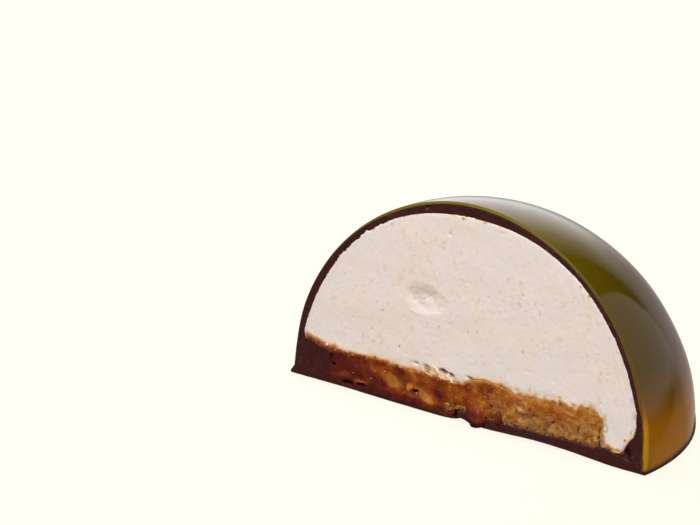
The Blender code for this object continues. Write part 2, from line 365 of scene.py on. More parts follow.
def feed(tree: Tree, socket: Socket, value: object) -> None:
    """Links another node's output to an input, or sets the input to a value or a hex colour.

    Args:
        tree: The node tree.
        socket: The input.
        value: What it is fed.
    """
    if isinstance(value, Socket):
        tree.links.new(value, socket)
    else:
        socket.default_value = linear(value) if isinstance(value, str) else value


def add_node(tree: Tree, kind: str, *values: object, out: int | str = 0, **settings: object) -> Socket:
    """Adds a node.

    Args:
        tree: The node tree.
        kind: The node's type without its ShaderNode prefix.
        values: Its inputs in order, or one dictionary of inputs by name or index.
        out: Name or index of the output that is wanted.
        settings: The node's own properties. stops gives a colour ramp's (place, hex colour) pairs.

    Returns:
        The wanted output.
    """
    node = tree.nodes.new("ShaderNode" + kind)
    stops = settings.pop("stops", None)
    for name, value in settings.items():
        setattr(node, name, value)
    if stops:
        elements = node.color_ramp.elements
        while len(elements) < len(stops):
            elements.new(0.5)
        for element, (place, colour) in zip(elements, stops):
            element.position = place
            element.color = linear(colour)
    inputs = values[0] if values and isinstance(values[0], dict) else dict(enumerate(values))
    for name, value in inputs.items():
        feed(tree, node.inputs[name], value)
    return node.outputs[out]


def lay_over(tree: Tree, under: object, over: object, *shares: Socket | float) -> Socket:
    """Lays one colour over another.

    Args:
        tree: The node tree.
        under: The colour below.
        over: The colour on top.
        shares: How strongly it lies there. They are multiplied.

    Returns:
        The mixed colour.
    """
    strength = shares[0]
    for share in shares[1:]:
        strength = add_node(tree, "Math", strength, share, operation="MULTIPLY")
    return add_node(tree, "Mix", {0: strength, 6: under, 7: over}, out=2, data_type="RGBA")


def specks(
    tree: Tree,
    where: Socket,
    size: float,
    chance: tuple[float, float],
    edge: float,
    core: float,
    part: int = 0,
) -> tuple[Socket, Socket]:
    """Round specks in some cells of a scattered grid.

    Args:
        tree: The node tree.
        where: Place, in millimetres.
        size: Spacing of the cells, in millimetres.
        chance: Draws of a cell, from 0 to 1, at which its speck starts to show and shows in full.
        edge: Where a speck ends, in cells from its middle.
        core: Where it is whole.
        part: Which of a cell's three draws is read.

    Returns:
        The specks' form, and which cells show theirs.
    """
    distance = add_node(tree, "TexVoronoi", {"Vector": where, "Scale": 1 / size})
    drawn = add_node(tree, "SeparateColor", distance.node.outputs["Color"], out=part)
    chosen = add_node(tree, "MapRange", drawn, *chance, **EASED)
    return add_node(tree, "MapRange", distance, edge, core, **EASED), chosen


def translucent(weight: float, colours: tuple[float, float, float], depth: float) -> dict[str, object]:
    """Shader settings of a food that light enters to a depth in millimetres."""
    return {"Subsurface Weight": weight, "Subsurface Radius": colours, "Subsurface Scale": depth * MM}


@dataclass(frozen=True)
class Finish:
    """A procedural material. Patterns are read in millimetres from Object coordinates.

    uniform holds the shader's values that are the same everywhere. pores is the fine relief: its size in
    millimetres, its detail, its strength and its depth in millimetres.
    """

    name: str
    uniform: ClassVar[dict[str, object]] = {}
    pores: ClassVar[tuple[float, ...]] = ()

    def material(self) -> bpy.types.Material:
        """Makes the material.

        Returns:
            The material, painted and with its pores.
        """
        made = bpy.data.materials.new(self.name)
        made.use_nodes = True
        tree = made.node_tree
        where = add_node(tree, "TexCoord", out="Object")
        mm = add_node(tree, "VectorMath", {0: where, "Scale": 1 / MM}, operation="SCALE")
        looks = {**self.uniform, **self.paint(tree, mm)}
        if self.pores:
            size, detail, strength, depth = self.pores
            height = add_node(tree, "TexNoise", {"Vector": mm, "Scale": 1 / size, "Detail": detail})
            relief = {"Strength": strength, "Distance": depth * MM, "Height": height}
            looks["Normal"] = add_node(tree, "Bump", relief)
        for title, value in looks.items():
            feed(tree, tree.nodes["Principled BSDF"].inputs[title], value)
        return made

    def paint(self, tree: Tree, mm: Socket) -> dict[str, Socket]:
        """Adds the finish's own nodes.

        Args:
            tree: The material's node tree.
            mm: Object coordinates in millimetres.

        Returns:
            What they feed, by the shader's input.
        """
        raise NotImplementedError


@dataclass(frozen=True)
class PaintedCocoaButter(Finish):
    """Coloured cocoa butter brushed into the mould and polished by it: glassy, with brush streaks inside.

    The strokes run round the dome. Green lies over yellow, and the yellow pools amber at the foot. The
    attribute gold is where a drop of yellow gathered, and edge is where the coat runs out over chocolate.
    """

    stroke_length: float = 26.0
    stroke_width: float = 0.9
    uniform: ClassVar[dict[str, object]] = {"Roughness": 0.07, "IOR": 1.46}

    def paint(self, tree: Tree, mm: Socket) -> dict[str, Socket]:
        """A green to amber fall, streaks round the axis that show most at the back, and round pale spots."""
        parts = add_node(tree, "SeparateXYZ", mm).node.outputs
        turn = add_node(tree, "Math", parts[0], parts[1], operation="ARCTAN2")
        around = add_node(tree, "Math", turn, DOME.radius / self.stroke_length, operation="MULTIPLY")
        wander = add_node(tree, "TexNoise", {"Vector": mm, "Scale": 1 / 9})
        height = add_node(tree, "Math", wander, 1.6, parts[2], operation="MULTIPLY_ADD")
        tall = add_node(tree, "Math", height, self.stroke_width, operation="DIVIDE")
        strokes = add_node(tree, "CombineXYZ", around, 0.0, tall)
        fine = add_node(tree, "TexNoise", {"Vector": strokes, "Scale": 1.0, "Detail": 3.0})
        wide = add_node(tree, "TexNoise", {"Vector": strokes, "Scale": 0.28})
        rise = add_node(tree, "MapRange", height, 0.8, DOME.height + 0.8)
        stops = (
            (0.0, "#e08e14"), (0.19, "#c47c12"), (0.3, "#83590c"), (0.42, "#5e4600"),
            (0.62, "#5a4500"), (0.82, "#5c4d00"), (1.0, "#605402"),
        )
        body = add_node(tree, "ValToRGB", rise, stops=stops)
        press = add_node(tree, "MapRange", parts[0], 14.0, -4.0, 0.04, 0.5)
        for seen, start, full, colour, strength in (
            (wide, 0.5, 0.75, "#96720a", 0.7),
            (wide, 0.5, 0.25, "#343200", 0.7),
            (fine, 0.52, 0.72, "#b88410", 1.0),
            (fine, 0.46, 0.3, "#2c2e02", 0.8),
        ):
            share = add_node(tree, "MapRange", seen, start, full, 0.0, strength, **EASED)
            body = lay_over(tree, body, colour, share, press)
        for edge, core, colour, strength in ((0.2, 0.08, "#a07010", 0.35), (0.095, 0.07, "#7f7458", 0.6)):
            shares = specks(tree, mm, 6.5, (0.72, 0.73), edge, core)
            body = lay_over(tree, body, colour, *shares, strength)
        for title, colour in (("gold", "#b4820c"), ("edge", "#35140c")):
            body = lay_over(tree, body, colour, add_node(tree, "Attribute", out="Fac", attribute_name=title))
        return {"Base Color": body}


@dataclass(frozen=True)
class CutCocoaButter(Finish):
    """The coat where the knife went through it: solid olive, and bright yellow at its thick foot."""

    uniform: ClassVar[dict[str, object]] = {"Roughness": 0.4}

    def paint(self, tree: Tree, mm: Socket) -> dict[str, Socket]:
        """Olive above and yellow below, browner inside, away from what the attribute outer marks."""
        height = add_node(tree, "SeparateXYZ", mm, out=2)
        cloud = add_node(tree, "TexNoise", {"Vector": mm, "Scale": 1 / 2})
        wander = add_node(tree, "Math", cloud, 1.2, height, operation="MULTIPLY_ADD")
        share = add_node(tree, "MapRange", wander, 0.6, DOME.height + 0.6)
        stops = (
            (0.0, "#bb850c"), (0.12, "#9e700e"), (0.19, "#8e5e12"), (0.22, "#74511a"),
            (0.4, "#66491a"), (0.6, "#5f4c1c"), (0.8, "#6c5c16"), (1.0, "#807212"),
        )
        colour = add_node(tree, "ValToRGB", share, stops=stops)
        outer = add_node(tree, "Attribute", out="Fac", attribute_name="outer")
        cloud = add_node(tree, "TexNoise", {"Vector": mm, "Scale": 1 / 1.6})
        wave = add_node(tree, "Math", cloud, 0.9, outer, operation="MULTIPLY_ADD")
        inner = add_node(tree, "MapRange", wave, 0.95, 0.42, **EASED)
        thick = add_node(tree, "MapRange", height, 9.0, 6.0, **EASED)
        return {"Base Color": lay_over(tree, colour, "#4a2012", inner, thick)}


@dataclass(frozen=True)
class DarkChocolate(Finish):
    """Tempered dark chocolate: a dull purple brown where it was cut, dusted with pale grains of cocoa."""

    tone: str = "#371412"
    dust: float = 0.5
    uniform: ClassVar[dict[str, object]] = {"Specular IOR Level": 0.3}
    pores: ClassVar[tuple[float, ...]] = (0.22, 3.0, 0.35, 0.05)

    def paint(self, tree: Tree, mm: Socket) -> dict[str, Socket]:
        """Cloudy brown with fine dust and a fine drag of the knife."""
        cloud = add_node(tree, "TexNoise", {"Vector": mm, "Scale": 1 / 2.2, "Detail": 3.0})
        clear = add_node(tree, "MapRange", cloud, 0.35, 0.7, **EASED)
        body = lay_over(tree, self.tone, "#401a17", clear)
        shares = specks(tree, mm, 0.32, (0.62, 0.9), 0.34, 0.12, part=1)
        body = lay_over(tree, body, "#7a5e56", *shares, self.dust)
        return {"Base Color": body, "Roughness": add_node(tree, "MapRange", cloud, 0.0, 1.0, 0.36, 0.56)}


@dataclass(frozen=True)
class WhippedMarshmallow(Finish):
    """Whipped marshmallow: a matt, faintly translucent off-white foam with tan and grey flecks.

    The attribute stain is where caramel soaked into it, and also brown painted shade beside the biscuit's
    right end.
    The attribute shade is painted shade in the hollows, the tail's gap and the dent, where some marks are
    brown specks, and a ring round a glassy bubble's rim; it also greys the foam along the shell on the right.
    """

    fleck: float = 1.1
    uniform: ClassVar[dict[str, object]] = {"Roughness": 0.62, **translucent(0.25, (1.0, 0.7, 0.5), 0.7)}
    pores: ClassVar[tuple[float, ...]] = (0.3, 3.0, 0.3, 0.06)

    def paint(self, tree: Tree, mm: Socket) -> dict[str, Socket]:
        """Warm and cool clouds, three sizes of fleck that gather in places, and the painted stains."""
        cloud = add_node(tree, "TexNoise", {"Vector": mm, "Scale": 1 / 5.5})
        warm = add_node(tree, "MapRange", cloud, 0.4, 0.7, **EASED)
        body = lay_over(tree, "#ebe1dc", "#ecdfd4", warm)
        bent = add_node(tree, "TexNoise", {"Vector": mm, "Scale": 1 / 1.3, "Detail": 1.0}, out="Color")
        drawn = add_node(tree, "VectorMath", bent, (1.4, 1.4, 1.4), mm, operation="MULTIPLY_ADD")
        gather = add_node(tree, "TexNoise", {"Vector": mm, "Scale": 1 / 7})
        gather = add_node(tree, "MapRange", gather, 0.36, 0.62, **EASED)
        for size, edge, colour, rarity, strength in (
            (self.fleck, 0.44, "#dfb488", 0.4, 0.75),
            (self.fleck * 0.5, 0.4, "#b8a08c", 0.6, 0.5),
            (2.6, 0.3, "#efc496", 0.5, 0.6),
        ):
            shares = specks(tree, drawn, size, (rarity, 1.0), edge, 0.0)
            body = lay_over(tree, body, colour, *shares, gather, strength)
        # stain also holds painted brown shade in the gap beside the biscuit's right end
        stain = add_node(tree, "Attribute", out="Fac", attribute_name="stain")
        stops = ((0.0, "#f5e6ca"), (0.3, "#e9c48c"), (0.6, "#bf7c40"), (0.8, "#8f451c"), (1.0, "#5c2010"))
        tone = add_node(tree, "ValToRGB", stain, stops=stops)
        body = lay_over(tree, body, tone, add_node(tree, "MapRange", stain, 0.02, 0.45, **EASED))
        # Painted shade in the hollows, the tail's gap, the dent and round a bubble, with brown specks in the
        # dent
        shade = add_node(tree, "Attribute", out="Fac", attribute_name="shade")
        return {"Base Color": lay_over(tree, body, "#5a3812", shade)}


@dataclass(frozen=True)
class WetSugarAndGlints(Finish):
    """Threads of melted sugar and the white beads of painted glints: almost white, wet and bright."""

    uniform: ClassVar[dict[str, object]] = {"Roughness": 0.15}

    def paint(self, tree: Tree, mm: Socket) -> dict[str, Socket]:
        """A faint warm cloud in a glossy white."""
        cloud = add_node(tree, "TexNoise", {"Vector": mm, "Scale": 1 / 0.8})
        warm = add_node(tree, "MapRange", cloud, 0.4, 0.65, **EASED)
        return {"Base Color": lay_over(tree, "#fffdf8", "#f4dcc8", warm)}


@dataclass(frozen=True)
class SoftCaramel(Finish):
    """Soft caramel with biscuit under it: glossy and sticky, from red brown where thick to tan where thin.

    The attribute amber is how thin and pale it is, and 0 in the deep holes, which are painted near black as
    shade.
    """

    uniform: ClassVar[dict[str, object]] = {"IOR": 1.49, **translucent(0.3, (1.0, 0.45, 0.15), 0.8)}
    pores: ClassVar[tuple[float, ...]] = (0.45, 2.0, 0.3, 0.05)

    def paint(self, tree: Tree, mm: Socket) -> dict[str, Socket]:
        """A ramp from red brown to tan, with clouds, duller where it is thick and dark."""
        amber = add_node(tree, "Attribute", out="Fac", attribute_name="amber")
        cloud = add_node(tree, "TexNoise", {"Vector": mm, "Scale": 1 / 1.1, "Detail": 3.0})
        moved = add_node(tree, "Math", cloud, 0.24, amber, operation="MULTIPLY_ADD")
        moved = add_node(tree, "Math", moved, 0.12, operation="SUBTRACT")
        # The two lowest stops are the painted near-black shade of the deep holes
        stops = (
            (0.0, "#040101"), (0.05, "#220806"), (0.1, "#4e1c18"), (0.2, "#5f2114"), (0.36, "#7e330a"),
            (0.5, "#985214"), (0.65, "#b0702c"), (0.82, "#c28c4a"), (1.0, "#e0bc98"),
        )
        return {
            "Base Color": add_node(tree, "ValToRGB", moved, stops=stops),
            "Specular IOR Level": add_node(tree, "MapRange", moved, 0.06, 0.36, 0.0, 0.34),
            "Roughness": add_node(tree, "MapRange", moved, 0.12, 0.4, 0.5, 0.24),
        }


@dataclass(frozen=True)
class BakedBiscuit(Finish):
    """Crisp baked biscuit: golden crumbs with painted shade in the pores between, brown where caramel soaked
    in (soak).
    """

    uniform: ClassVar[dict[str, object]] = {"Roughness": 0.55, **translucent(0.15, (1.0, 0.6, 0.25), 0.5)}
    pores: ClassVar[tuple[float, ...]] = (0.3, 3.0, 0.45, 0.08)

    def paint(self, tree: Tree, mm: Socket) -> dict[str, Socket]:
        """Golden to brown crumbs, with painted shade in the hollows that the attribute shade marks."""
        clouds = add_node(tree, "TexNoise", {"Vector": mm, "Scale": 1 / 0.8, "Detail": 4.0})
        stops = ((0.3, "#824e1a"), (0.45, "#986226"), (0.58, "#aa7632"), (0.72, "#c49448"))
        tone = add_node(tree, "ValToRGB", clouds, stops=stops)
        for title, colour in (("soak", "#93541c"), ("shade", "#4a2a0e")):
            tone = lay_over(tree, tone, colour, add_node(tree, "Attribute", out="Fac", attribute_name=title))
        return {"Base Color": tone}


@dataclass(frozen=True)
class PaleFloor(Finish):
    """A plain matt sheet of warm white paper, which glows a little to stay as pale as its surround."""

    uniform: ClassVar[dict[str, object]] = {
        "Emission Color": "#fffef0",
        "Emission Strength": 0.53,
        "Roughness": 0.9,
        "Specular IOR Level": 0.0,
    }

    def paint(self, tree: Tree, mm: Socket) -> dict[str, Socket]:
        """One even tone with a faint fibre."""
        cloud = add_node(tree, "TexNoise", {"Vector": mm, "Scale": 1 / 4})
        fibre = add_node(tree, "MapRange", cloud, 0.3, 0.7, **EASED)
        return {"Base Color": lay_over(tree, "#bcbcb2", "#bcbbb1", fibre)}


def add_object(name: str, data: bpy.types.ID) -> bpy.types.Object:
    """Adds an object to the scene."""
    made = bpy.data.objects.new(name, data)
    bpy.context.scene.collection.objects.link(made)
    return made


def put_in_order(bm: Mesh) -> None:
    """Orders the vertices and faces by place, because welding leaves another order on each run.

    Args:
        bm: The mesh.
    """
    places = ((bm.verts, lambda vert: vert.co), (bm.faces, lambda face: face.calc_center_median()))
    for parts, place_of in places:
        ordered = sorted(parts, key=lambda part: tuple(place_of(part)))
        ranks = {part: rank for rank, part in enumerate(ordered)}
        parts.sort(key=ranks.get)


def publish(
    bm: Mesh,
    name: str,
    finishes: Sequence[Finish],
    slot: Slot,
    replaced: Sequence[str] = (),
    tints: Tints | None = None,
    sharp: float | None = None,
) -> bpy.types.Object:
    """Turns a bmesh in millimetres into a finished piece in metres that rides on the body.

    Args:
        bm: The closed mesh. It is freed.
        name: Name of the piece.
        finishes: Its finishes, by the faces' material indices.
        slot: The record's slot for its finish. It is not used.
        replaced: CAD nodes that it stands for.
        tints: Attributes that its materials read, as functions of a point in millimetres.
        sharp: Angle in degrees past which an edge is sharp, or None for a soft piece.

    Returns:
        The new object.
    """
    bmesh.ops.recalc_face_normals(bm, faces=bm.faces)
    put_in_order(bm)
    for title, tint in (tints or {}).items():
        layer = bm.verts.layers.float.new(title)
        for vert in bm.verts:
            vert[layer] = min(max(tint(vert.co), 0.0), 1.0)
    bmesh.ops.scale(bm, vec=(MM, MM, MM), verts=bm.verts)
    mesh = bpy.data.meshes.new(name)
    bm.to_mesh(mesh)
    bm.free()
    mesh.shade_smooth()
    if sharp is not None:
        mesh.set_sharp_from_angle(angle=math.radians(sharp))
    for finish in finishes:
        mesh.materials.append(finish.material())
    piece = add_object(name, mesh)
    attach(piece, "root")
    if replaced:
        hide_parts(*replaced)
    return piece


@dataclass(frozen=True)
class FineFace:
    """A solid with a fine grid for its cut face and a plain body that closes behind it.

    crowding draws the body's steps together towards the face. Points closer than weld, in mm, are joined.
    """

    columns: int
    rows: int
    steps: int
    crowding: float = 1.6
    weld: float = 0.0005

    def solid(self, place: Place) -> Mesh:
        """Builds the solid.

        Args:
            place: Gives the point at a share across the face, a share up it and a share of the way back.

        Returns:
            The closed mesh, in millimetres.
        """
        bm = bmesh.new()
        shares = bm.verts.layers.float_vector.new("shares")
        bmesh.ops.create_grid(bm, x_segments=self.columns, y_segments=self.rows, size=1.0)
        for vert in bm.verts:
            vert[shares] = ((vert.co.x + 1) / 2, (vert.co.y + 1) / 2, 0.0)
        rim = [edge for edge in bm.edges if edge.is_boundary]
        for step in range(1, self.steps + 1):
            grown = bmesh.ops.extrude_edge_only(bm, edges=rim)["geom"]
            rim = [item for item in grown if isinstance(item, bmesh.types.BMEdge)]
            for vert in (item for item in grown if isinstance(item, bmesh.types.BMVert)):
                vert[shares] = (vert[shares].x, vert[shares].y, (step / self.steps) ** self.crowding)
        for vert in bm.verts:
            vert.co = place(*vert[shares])
        bm.verts.layers.float_vector.remove(shares)
        bmesh.ops.remove_doubles(bm, verts=bm.verts, dist=self.weld)
        return bm


def back_point(front: Vector, end: Vector, back: float, radius_at: Curve | None = None) -> Vector:
    """Where a point of the rim of the cut face goes as its body rounds to the back of the dome.

    Args:
        front: The point on the cut face.
        end: The point at the back that the whole rim closes to.
        back: Share of the way back.
        radius_at: Radius to hold at each height, or None to keep inside the turned body.

    Returns:
        The point at that share.
    """
    turn = back * math.pi / 2
    x = front.x * math.cos(turn)
    y = front.y + (end.y - front.y) * math.sin(turn)
    z = end.z + (front.z - end.z) * math.cos(turn)
    if radius_at:
        scale = radius_at(z) / max(math.hypot(x, y), 1e-6)
        held = min(y, KNIFE.y_at(z) + KNIFE_CLEARANCE)
        x, y = x * scale, max(y * scale, held)
    return Vector((x, y, z))


def knife_cut(bm: Mesh, behind: float = 0.0, clear: bool = False) -> list[bmesh.types.BMEdge]:
    """Cuts a mesh along the knife's plane.

    Args:
        bm: The mesh, in millimetres.
        behind: How far behind the knife's plane the cut lies.
        clear: Whether what lies in front of it goes.

    Returns:
        The edges of the cut.
    """
    cut = bmesh.ops.bisect_plane(
        bm,
        geom=[*bm.verts, *bm.edges, *bm.faces],
        dist=1e-5,
        plane_co=(0, KNIFE.offset + behind, 0),
        plane_no=Vector((0, 1, -KNIFE.lean)).normalized(),
        clear_inner=clear,
    )
    return [item for item in cut["geom_cut"] if isinstance(item, bmesh.types.BMEdge)]


@dataclass
class ColouredCoat:
    """The coat of painted cocoa butter over the whole dome, thick only at the foot on the right."""

    turns: int = 180
    rings: int = 84
    inner_rings: int = 40
    edge_height: float = 0.46
    edge_gap: float = 0.04
    ridge_rise: float = 1.9
    right_part: float = 20.0
    round_radius: float = 0.45
    round_steps: tuple[float, ...] = (0.06, 0.15, 0.28, 0.45)

    def edge_at(self, angle: float) -> float:
        """Height of the coat's brushed lower edge, above the lip on the left and the ridge on the right."""
        uneven = 0.1 * noise.noise(Vector((5 * math.cos(angle), 5 * math.sin(angle), 4.2)))
        uneven += 0.05 * noise.noise(Vector((19 * math.cos(angle), 19 * math.sin(angle), 8.2)))
        uneven += 0.3 * fade(math.degrees(math.remainder(angle, math.tau)), -4.0, 18.0)
        edge = mix(self.edge_height + uneven, LIP_HEIGHT + 0.5, left_share(angle, LIP_ANGLES))
        return edge + self.ridge_rise * ridge_share(angle)

    def gold(self, point: Vector) -> float:
        """Strength of the yellow that the outside shows beside the foot of the cut."""
        behind = point.y - KNIFE.y_at(point.z)
        return fade(behind, 1.3, 0.25) * fade(point.z, 7.5, 4.5) if point.x > self.right_part else 0.0

    def thin(self, point: Vector) -> float:
        """How thin the coat runs over the chocolate just above its lower edge."""
        return 0.8 * fade(point.z - self.edge_at(math.atan2(point.y, point.x)), 0.75, 0.0)

    def outer(self, point: Vector) -> float:
        """Place through the coat's thickness: 0 at its inside and 1 at its outside."""
        angle = math.atan2(point.y, point.x)
        inside = DOME.radius_at(point.z) - slump(angle, point.z) - math.hypot(point.x, point.y)
        return 1.0 - inside / coat_depth(angle, point.z)

    def section(self, angle: float) -> list[tuple[float, float]]:
        """The coat's section from its apex, down the outside, round its edge and up the inside."""
        edge = self.edge_at(angle)
        lowest = math.asin(((edge - DOME.foot) / (DOME.height - DOME.foot)) ** (DOME.top_power / 2))
        outside, inside = [], []
        for count, points in ((self.rings, outside), (self.inner_rings, inside)):
            for ring in range(count + 1):
                turn = mix(math.pi / 2, lowest, ring / count)
                z = DOME.foot + (DOME.height - DOME.foot) * math.sin(turn) ** (2 / DOME.top_power)
                depth = coat_depth(angle, z) if points is inside else 0.0
                curve = DOME.inset(depth)
                z = curve.foot + (curve.height - curve.foot) * math.sin(turn) ** (2 / curve.top_power)
                r = 0.0 if ring == 0 else curve.radius * math.cos(turn) ** (2 / curve.side_power)
                points.append((max(r - slump(angle, z), 0.0), max(z, edge + self.edge_gap) if depth else z))
        return outside + inside[::-1]

    def soften_foot(self, bm: Mesh) -> None:
        """Rounds the outer edge of the cut near the floor at its right end, where the thick coat was soft.

        Args:
            bm: The cut coat, in millimetres.
        """
        for behind in self.round_steps:
            knife_cut(bm, behind)
        for vert in bm.verts:
            x, y, z = vert.co
            if x < self.right_part or self.outer(vert.co) < 0.9:
                continue
            radius = self.round_radius * fade(z, 11.0, 6.0)
            missing = max(radius - (y - KNIFE.y_at(z)), 0.0)
            drop = radius - math.sqrt(max(radius**2 - missing**2, 0.0))
            vert.co -= Vector((x, y, 0.0)).normalized() * drop

    def build(self) -> bpy.types.Object:
        """Spins the section, cuts the dome with the knife and caps the cut."""
        bm = bmesh.new()
        station = bm.verts.layers.int.new("station")
        verts = []
        for index, (r, z) in enumerate(self.section(0.0)):
            vert = bm.verts.new((r, 0.0, z))
            vert[station] = index
            verts.append(vert)
        edges = [bm.edges.new(pair) for pair in zip(verts, verts[1:])]
        bmesh.ops.spin(
            bm,
            geom=verts + edges,
            cent=(0, 0, 0),
            axis=(0, 0, 1),
            angle=math.tau,
            steps=self.turns,
            use_merge=True,
        )
        sections = [self.section(math.tau * turn / self.turns) for turn in range(self.turns)]
        for vert in bm.verts:
            turn = round(math.atan2(vert.co.y, vert.co.x) * self.turns / math.tau) % self.turns
            r, z = sections[turn][vert[station]]
            angle = math.tau * turn / self.turns
            vert.co = (r * math.cos(angle), r * math.sin(angle), z)
        bmesh.ops.remove_doubles(bm, verts=bm.verts, dist=1e-4)
        bmesh.ops.recalc_face_normals(bm, faces=bm.faces)
        bmesh.ops.edgeloop_fill(bm, edges=knife_cut(bm, clear=True), mat_nr=1)
        self.soften_foot(bm)
        finishes = (PaintedCocoaButter("brushed cocoa butter"), CutCocoaButter("cut cocoa butter"))
        tints: Tints = {"gold": self.gold, "edge": self.thin, "outer": self.outer}
        return publish(bm, "painted_coat", finishes, Slot.PAINT, ("coloured_coat",), tints, sharp=35)


@dataclass
class ChocolateShell:
    """The moulded shell: its cut edge inside the coat, and the bare rim under the coat all round."""

    face: FineFace = FineFace(560, 12, 26)
    rim: float = DOME.radius - 0.03
    rim_foot: float = DOME.radius - 0.22
    reaches: tuple[float, float] = (15.0, 34.0)
    halvings: int = 26
    back_reach: float = 29.0

    def outer(self, angle: float, z: float) -> float:
        """Radius of the shell's outside: bare at the rim, and just inside the coat above it."""
        edge = ColouredCoat().edge_at(angle)
        bare = mix(self.rim_foot, self.rim, fade(z, 0.0, 0.16) ** 0.5)
        if z > 0.5:
            bare = DOME.radius_at(z) - 0.02
        bare += 0.12 * ridge_share(angle) * fade(z, edge + 0.3, 0.3)
        under = DOME.inset(coat_depth(angle, z) - 0.02).radius_at(max(z, 0.25))
        push = LIP_REACH * max(1.0 - z / LIP_HEIGHT, 0.0) ** 1.3 - 0.32 * max(1.0 - z / 0.4, 0.0) ** 2
        push *= left_share(angle, LIP_ANGLES)
        return mix(bare, under, fade(z, edge - 0.05, edge + 0.14)) - slump(angle, z) + push

    def on_face(self, share: float, radius: Callable[[float, float], float]) -> Vector:
        """The point of the cut face at a share of the arc where the dome has a given radius.

        Args:
            share: 0 at the left foot and 1 at the right foot.
            radius: Radius by angle and height.

        Returns:
            The point, on the knife's plane.
        """
        turn = math.pi * (1.0 - share)
        near, far = self.reaches
        for _ in range(self.halvings):
            reach = (near + far) / 2
            x, z = reach * math.cos(turn), reach * math.sin(turn)
            if math.hypot(x, KNIFE.y_at(z)) < radius(KNIFE.angle_of(x, z), z):
                near = reach
            else:
                far = reach
        return KNIFE.on_face(near * math.cos(turn), near * math.sin(turn))

    def relief(self, x: float, z: float) -> float:
        """How far behind the knife's plane the cut chocolate lies."""
        depth = 0.03 * ripple(x, z, 1.3, 2.2) + 0.025 * ripple(x, z, 0.45, 7.1)
        depth += 0.7 * Spot(27.2, 2.1, 0.34, 1.2, lean=12.0, flat=0.2).share(x, z)
        return depth + 0.35 * Spot(-7.2, 28.25, 0.4, 0.32, flat=0.3).share(x, z)

    def build(self) -> bpy.types.Object:
        """Lays the fine cut edge along the arc and closes the shell behind it."""
        columns = self.face.columns
        outside = [self.on_face(i / columns, self.outer) for i in range(columns + 1)]
        inside = [self.on_face(i / columns, shell_inner) for i in range(columns + 1)]
        far = Vector((0.0, self.back_reach, 0.0))

        def place(along: float, across: float, back: float) -> Vector:
            """A point of the shell."""
            column = round(along * columns)
            if not back:
                point = outside[column].lerp(inside[column], across)
                z = max(point.z, FLOOR_WEAR(point.x))
                loose = fade(across, 0.0, 0.2)
                depth = mix(0.03, self.relief(point.x, point.z), loose)
                return KNIFE.on_face(point.x, z, depth)
            ends = []
            for front, radius in ((outside[column], self.outer), (inside[column], shell_inner)):
                rough = back_point(front, far, back)
                angle = math.atan2(rough.y, rough.x)
                ends.append(back_point(front, far, back, lambda z: radius(angle, z)))
            return ends[0].lerp(ends[1], across)

        bm = self.face.solid(place)
        finish = DarkChocolate("dark chocolate shell")
        return publish(bm, "chocolate_wall", (finish,), Slot.SHELL, ("chocolate_shell",), sharp=50)


# Holes between the plate and the caramel on the left
PLATE_PITS = spots((-19.7, 0.98, 1.3, 0.3, -1, 0, 3, 0.3), (-17.2, 1.2, 1.1, 0.32, -1.2, 0, 4, 0.5))


def plate_top(x: float) -> float:
    """Height of the base plate's top along the cut, with its low ridge past the biscuit's right end."""
    plate = 1.46 + 0.09 * ripple(x, 0.0, 2.1, 4.4) + 0.07 * ripple(x, 0.0, 0.7, 1.4)
    plate += 0.3 * fade(x, 9.0, 21.0) + 0.4 * fade(x, 21.9, 22.9)
    plate -= 0.45 * fade(x, 23.8, 25.8) + 0.35 * fade(x, 26.4, 27.3)
    return mix(plate, DISC_TOP(x) + 0.06, fade(x, -22.7, -23.5))


@dataclass
class ChocolateBase:
    """The plate that closes the shell, with its solid left corner and its worn lower edge."""

    face: FineFace = FineFace(460, 34, 16)
    right_end: float = 27.5
    body_radius: float = 27.2
    corner_end: float = -22.4
    lowest: float = 0.02

    def left_edge(self, z: float) -> float:
        """X of the outside of the left corner at a height, with its squeezed lip."""
        angle = KNIFE.angle_of(-30.0, z)
        reach = ChocolateShell().outer(angle, z)
        return -math.sqrt(reach**2 - KNIFE.y_at(z) ** 2)

    def build(self) -> bpy.types.Object:
        """Lays the fine cut face along the floor and closes the plate behind it."""
        notch = Spot(-0.45, 1.0, 0.3, 0.85, -1.5, flat=0.5)

        def place(along: float, up: float, back: float) -> Vector:
            """A point of the base."""
            x = mix(self.left_edge(0.0), self.right_end, along)
            low = FLOOR_WEAR(x)
            z = mix(low, plate_top(x), up)
            x += (self.left_edge(z) - self.left_edge(0.0)) * fade(along, 0.09, 0.0)
            if back:
                end = Vector((0.0, self.body_radius, 1.3 * up))
                point = back_point(KNIFE.on_face(x, z), end, back)
                scale = min(self.body_radius / math.hypot(point.x, point.y), 1.0)
                return Vector((point.x * scale, point.y * scale, max(point.z, self.lowest)))
            depth = 0.04 * ripple(x, z, 1.5, 3.7) + 0.03 * ripple(x, z, 0.45, 6.1) - 0.03
            depth += 0.12 * fade(z, 4.4, 5.2) * fade(x, -27.0, -28.2)
            depth -= notch.rise * notch.share(x, z)
            skirted = fade(x, self.corner_end, -21.6) * fade(x, -0.8, -1.2) * fade(z, 0.45, 0.75)
            depth += 0.25 * skirted - sum(pit.rise * pit.share(x, z) for pit in PLATE_PITS)
            if x > self.corner_end:
                depth += 0.06 * fade(up, 0.9, 1.0)
            return KNIFE.on_face(x, z, depth)

        bm = self.face.solid(place)
        finish = DarkChocolate("base chocolate", "#3b1714", 0.45)
        return publish(bm, "chocolate_plate", (finish,), Slot.BASE, ("chocolate_base",), sharp=50)


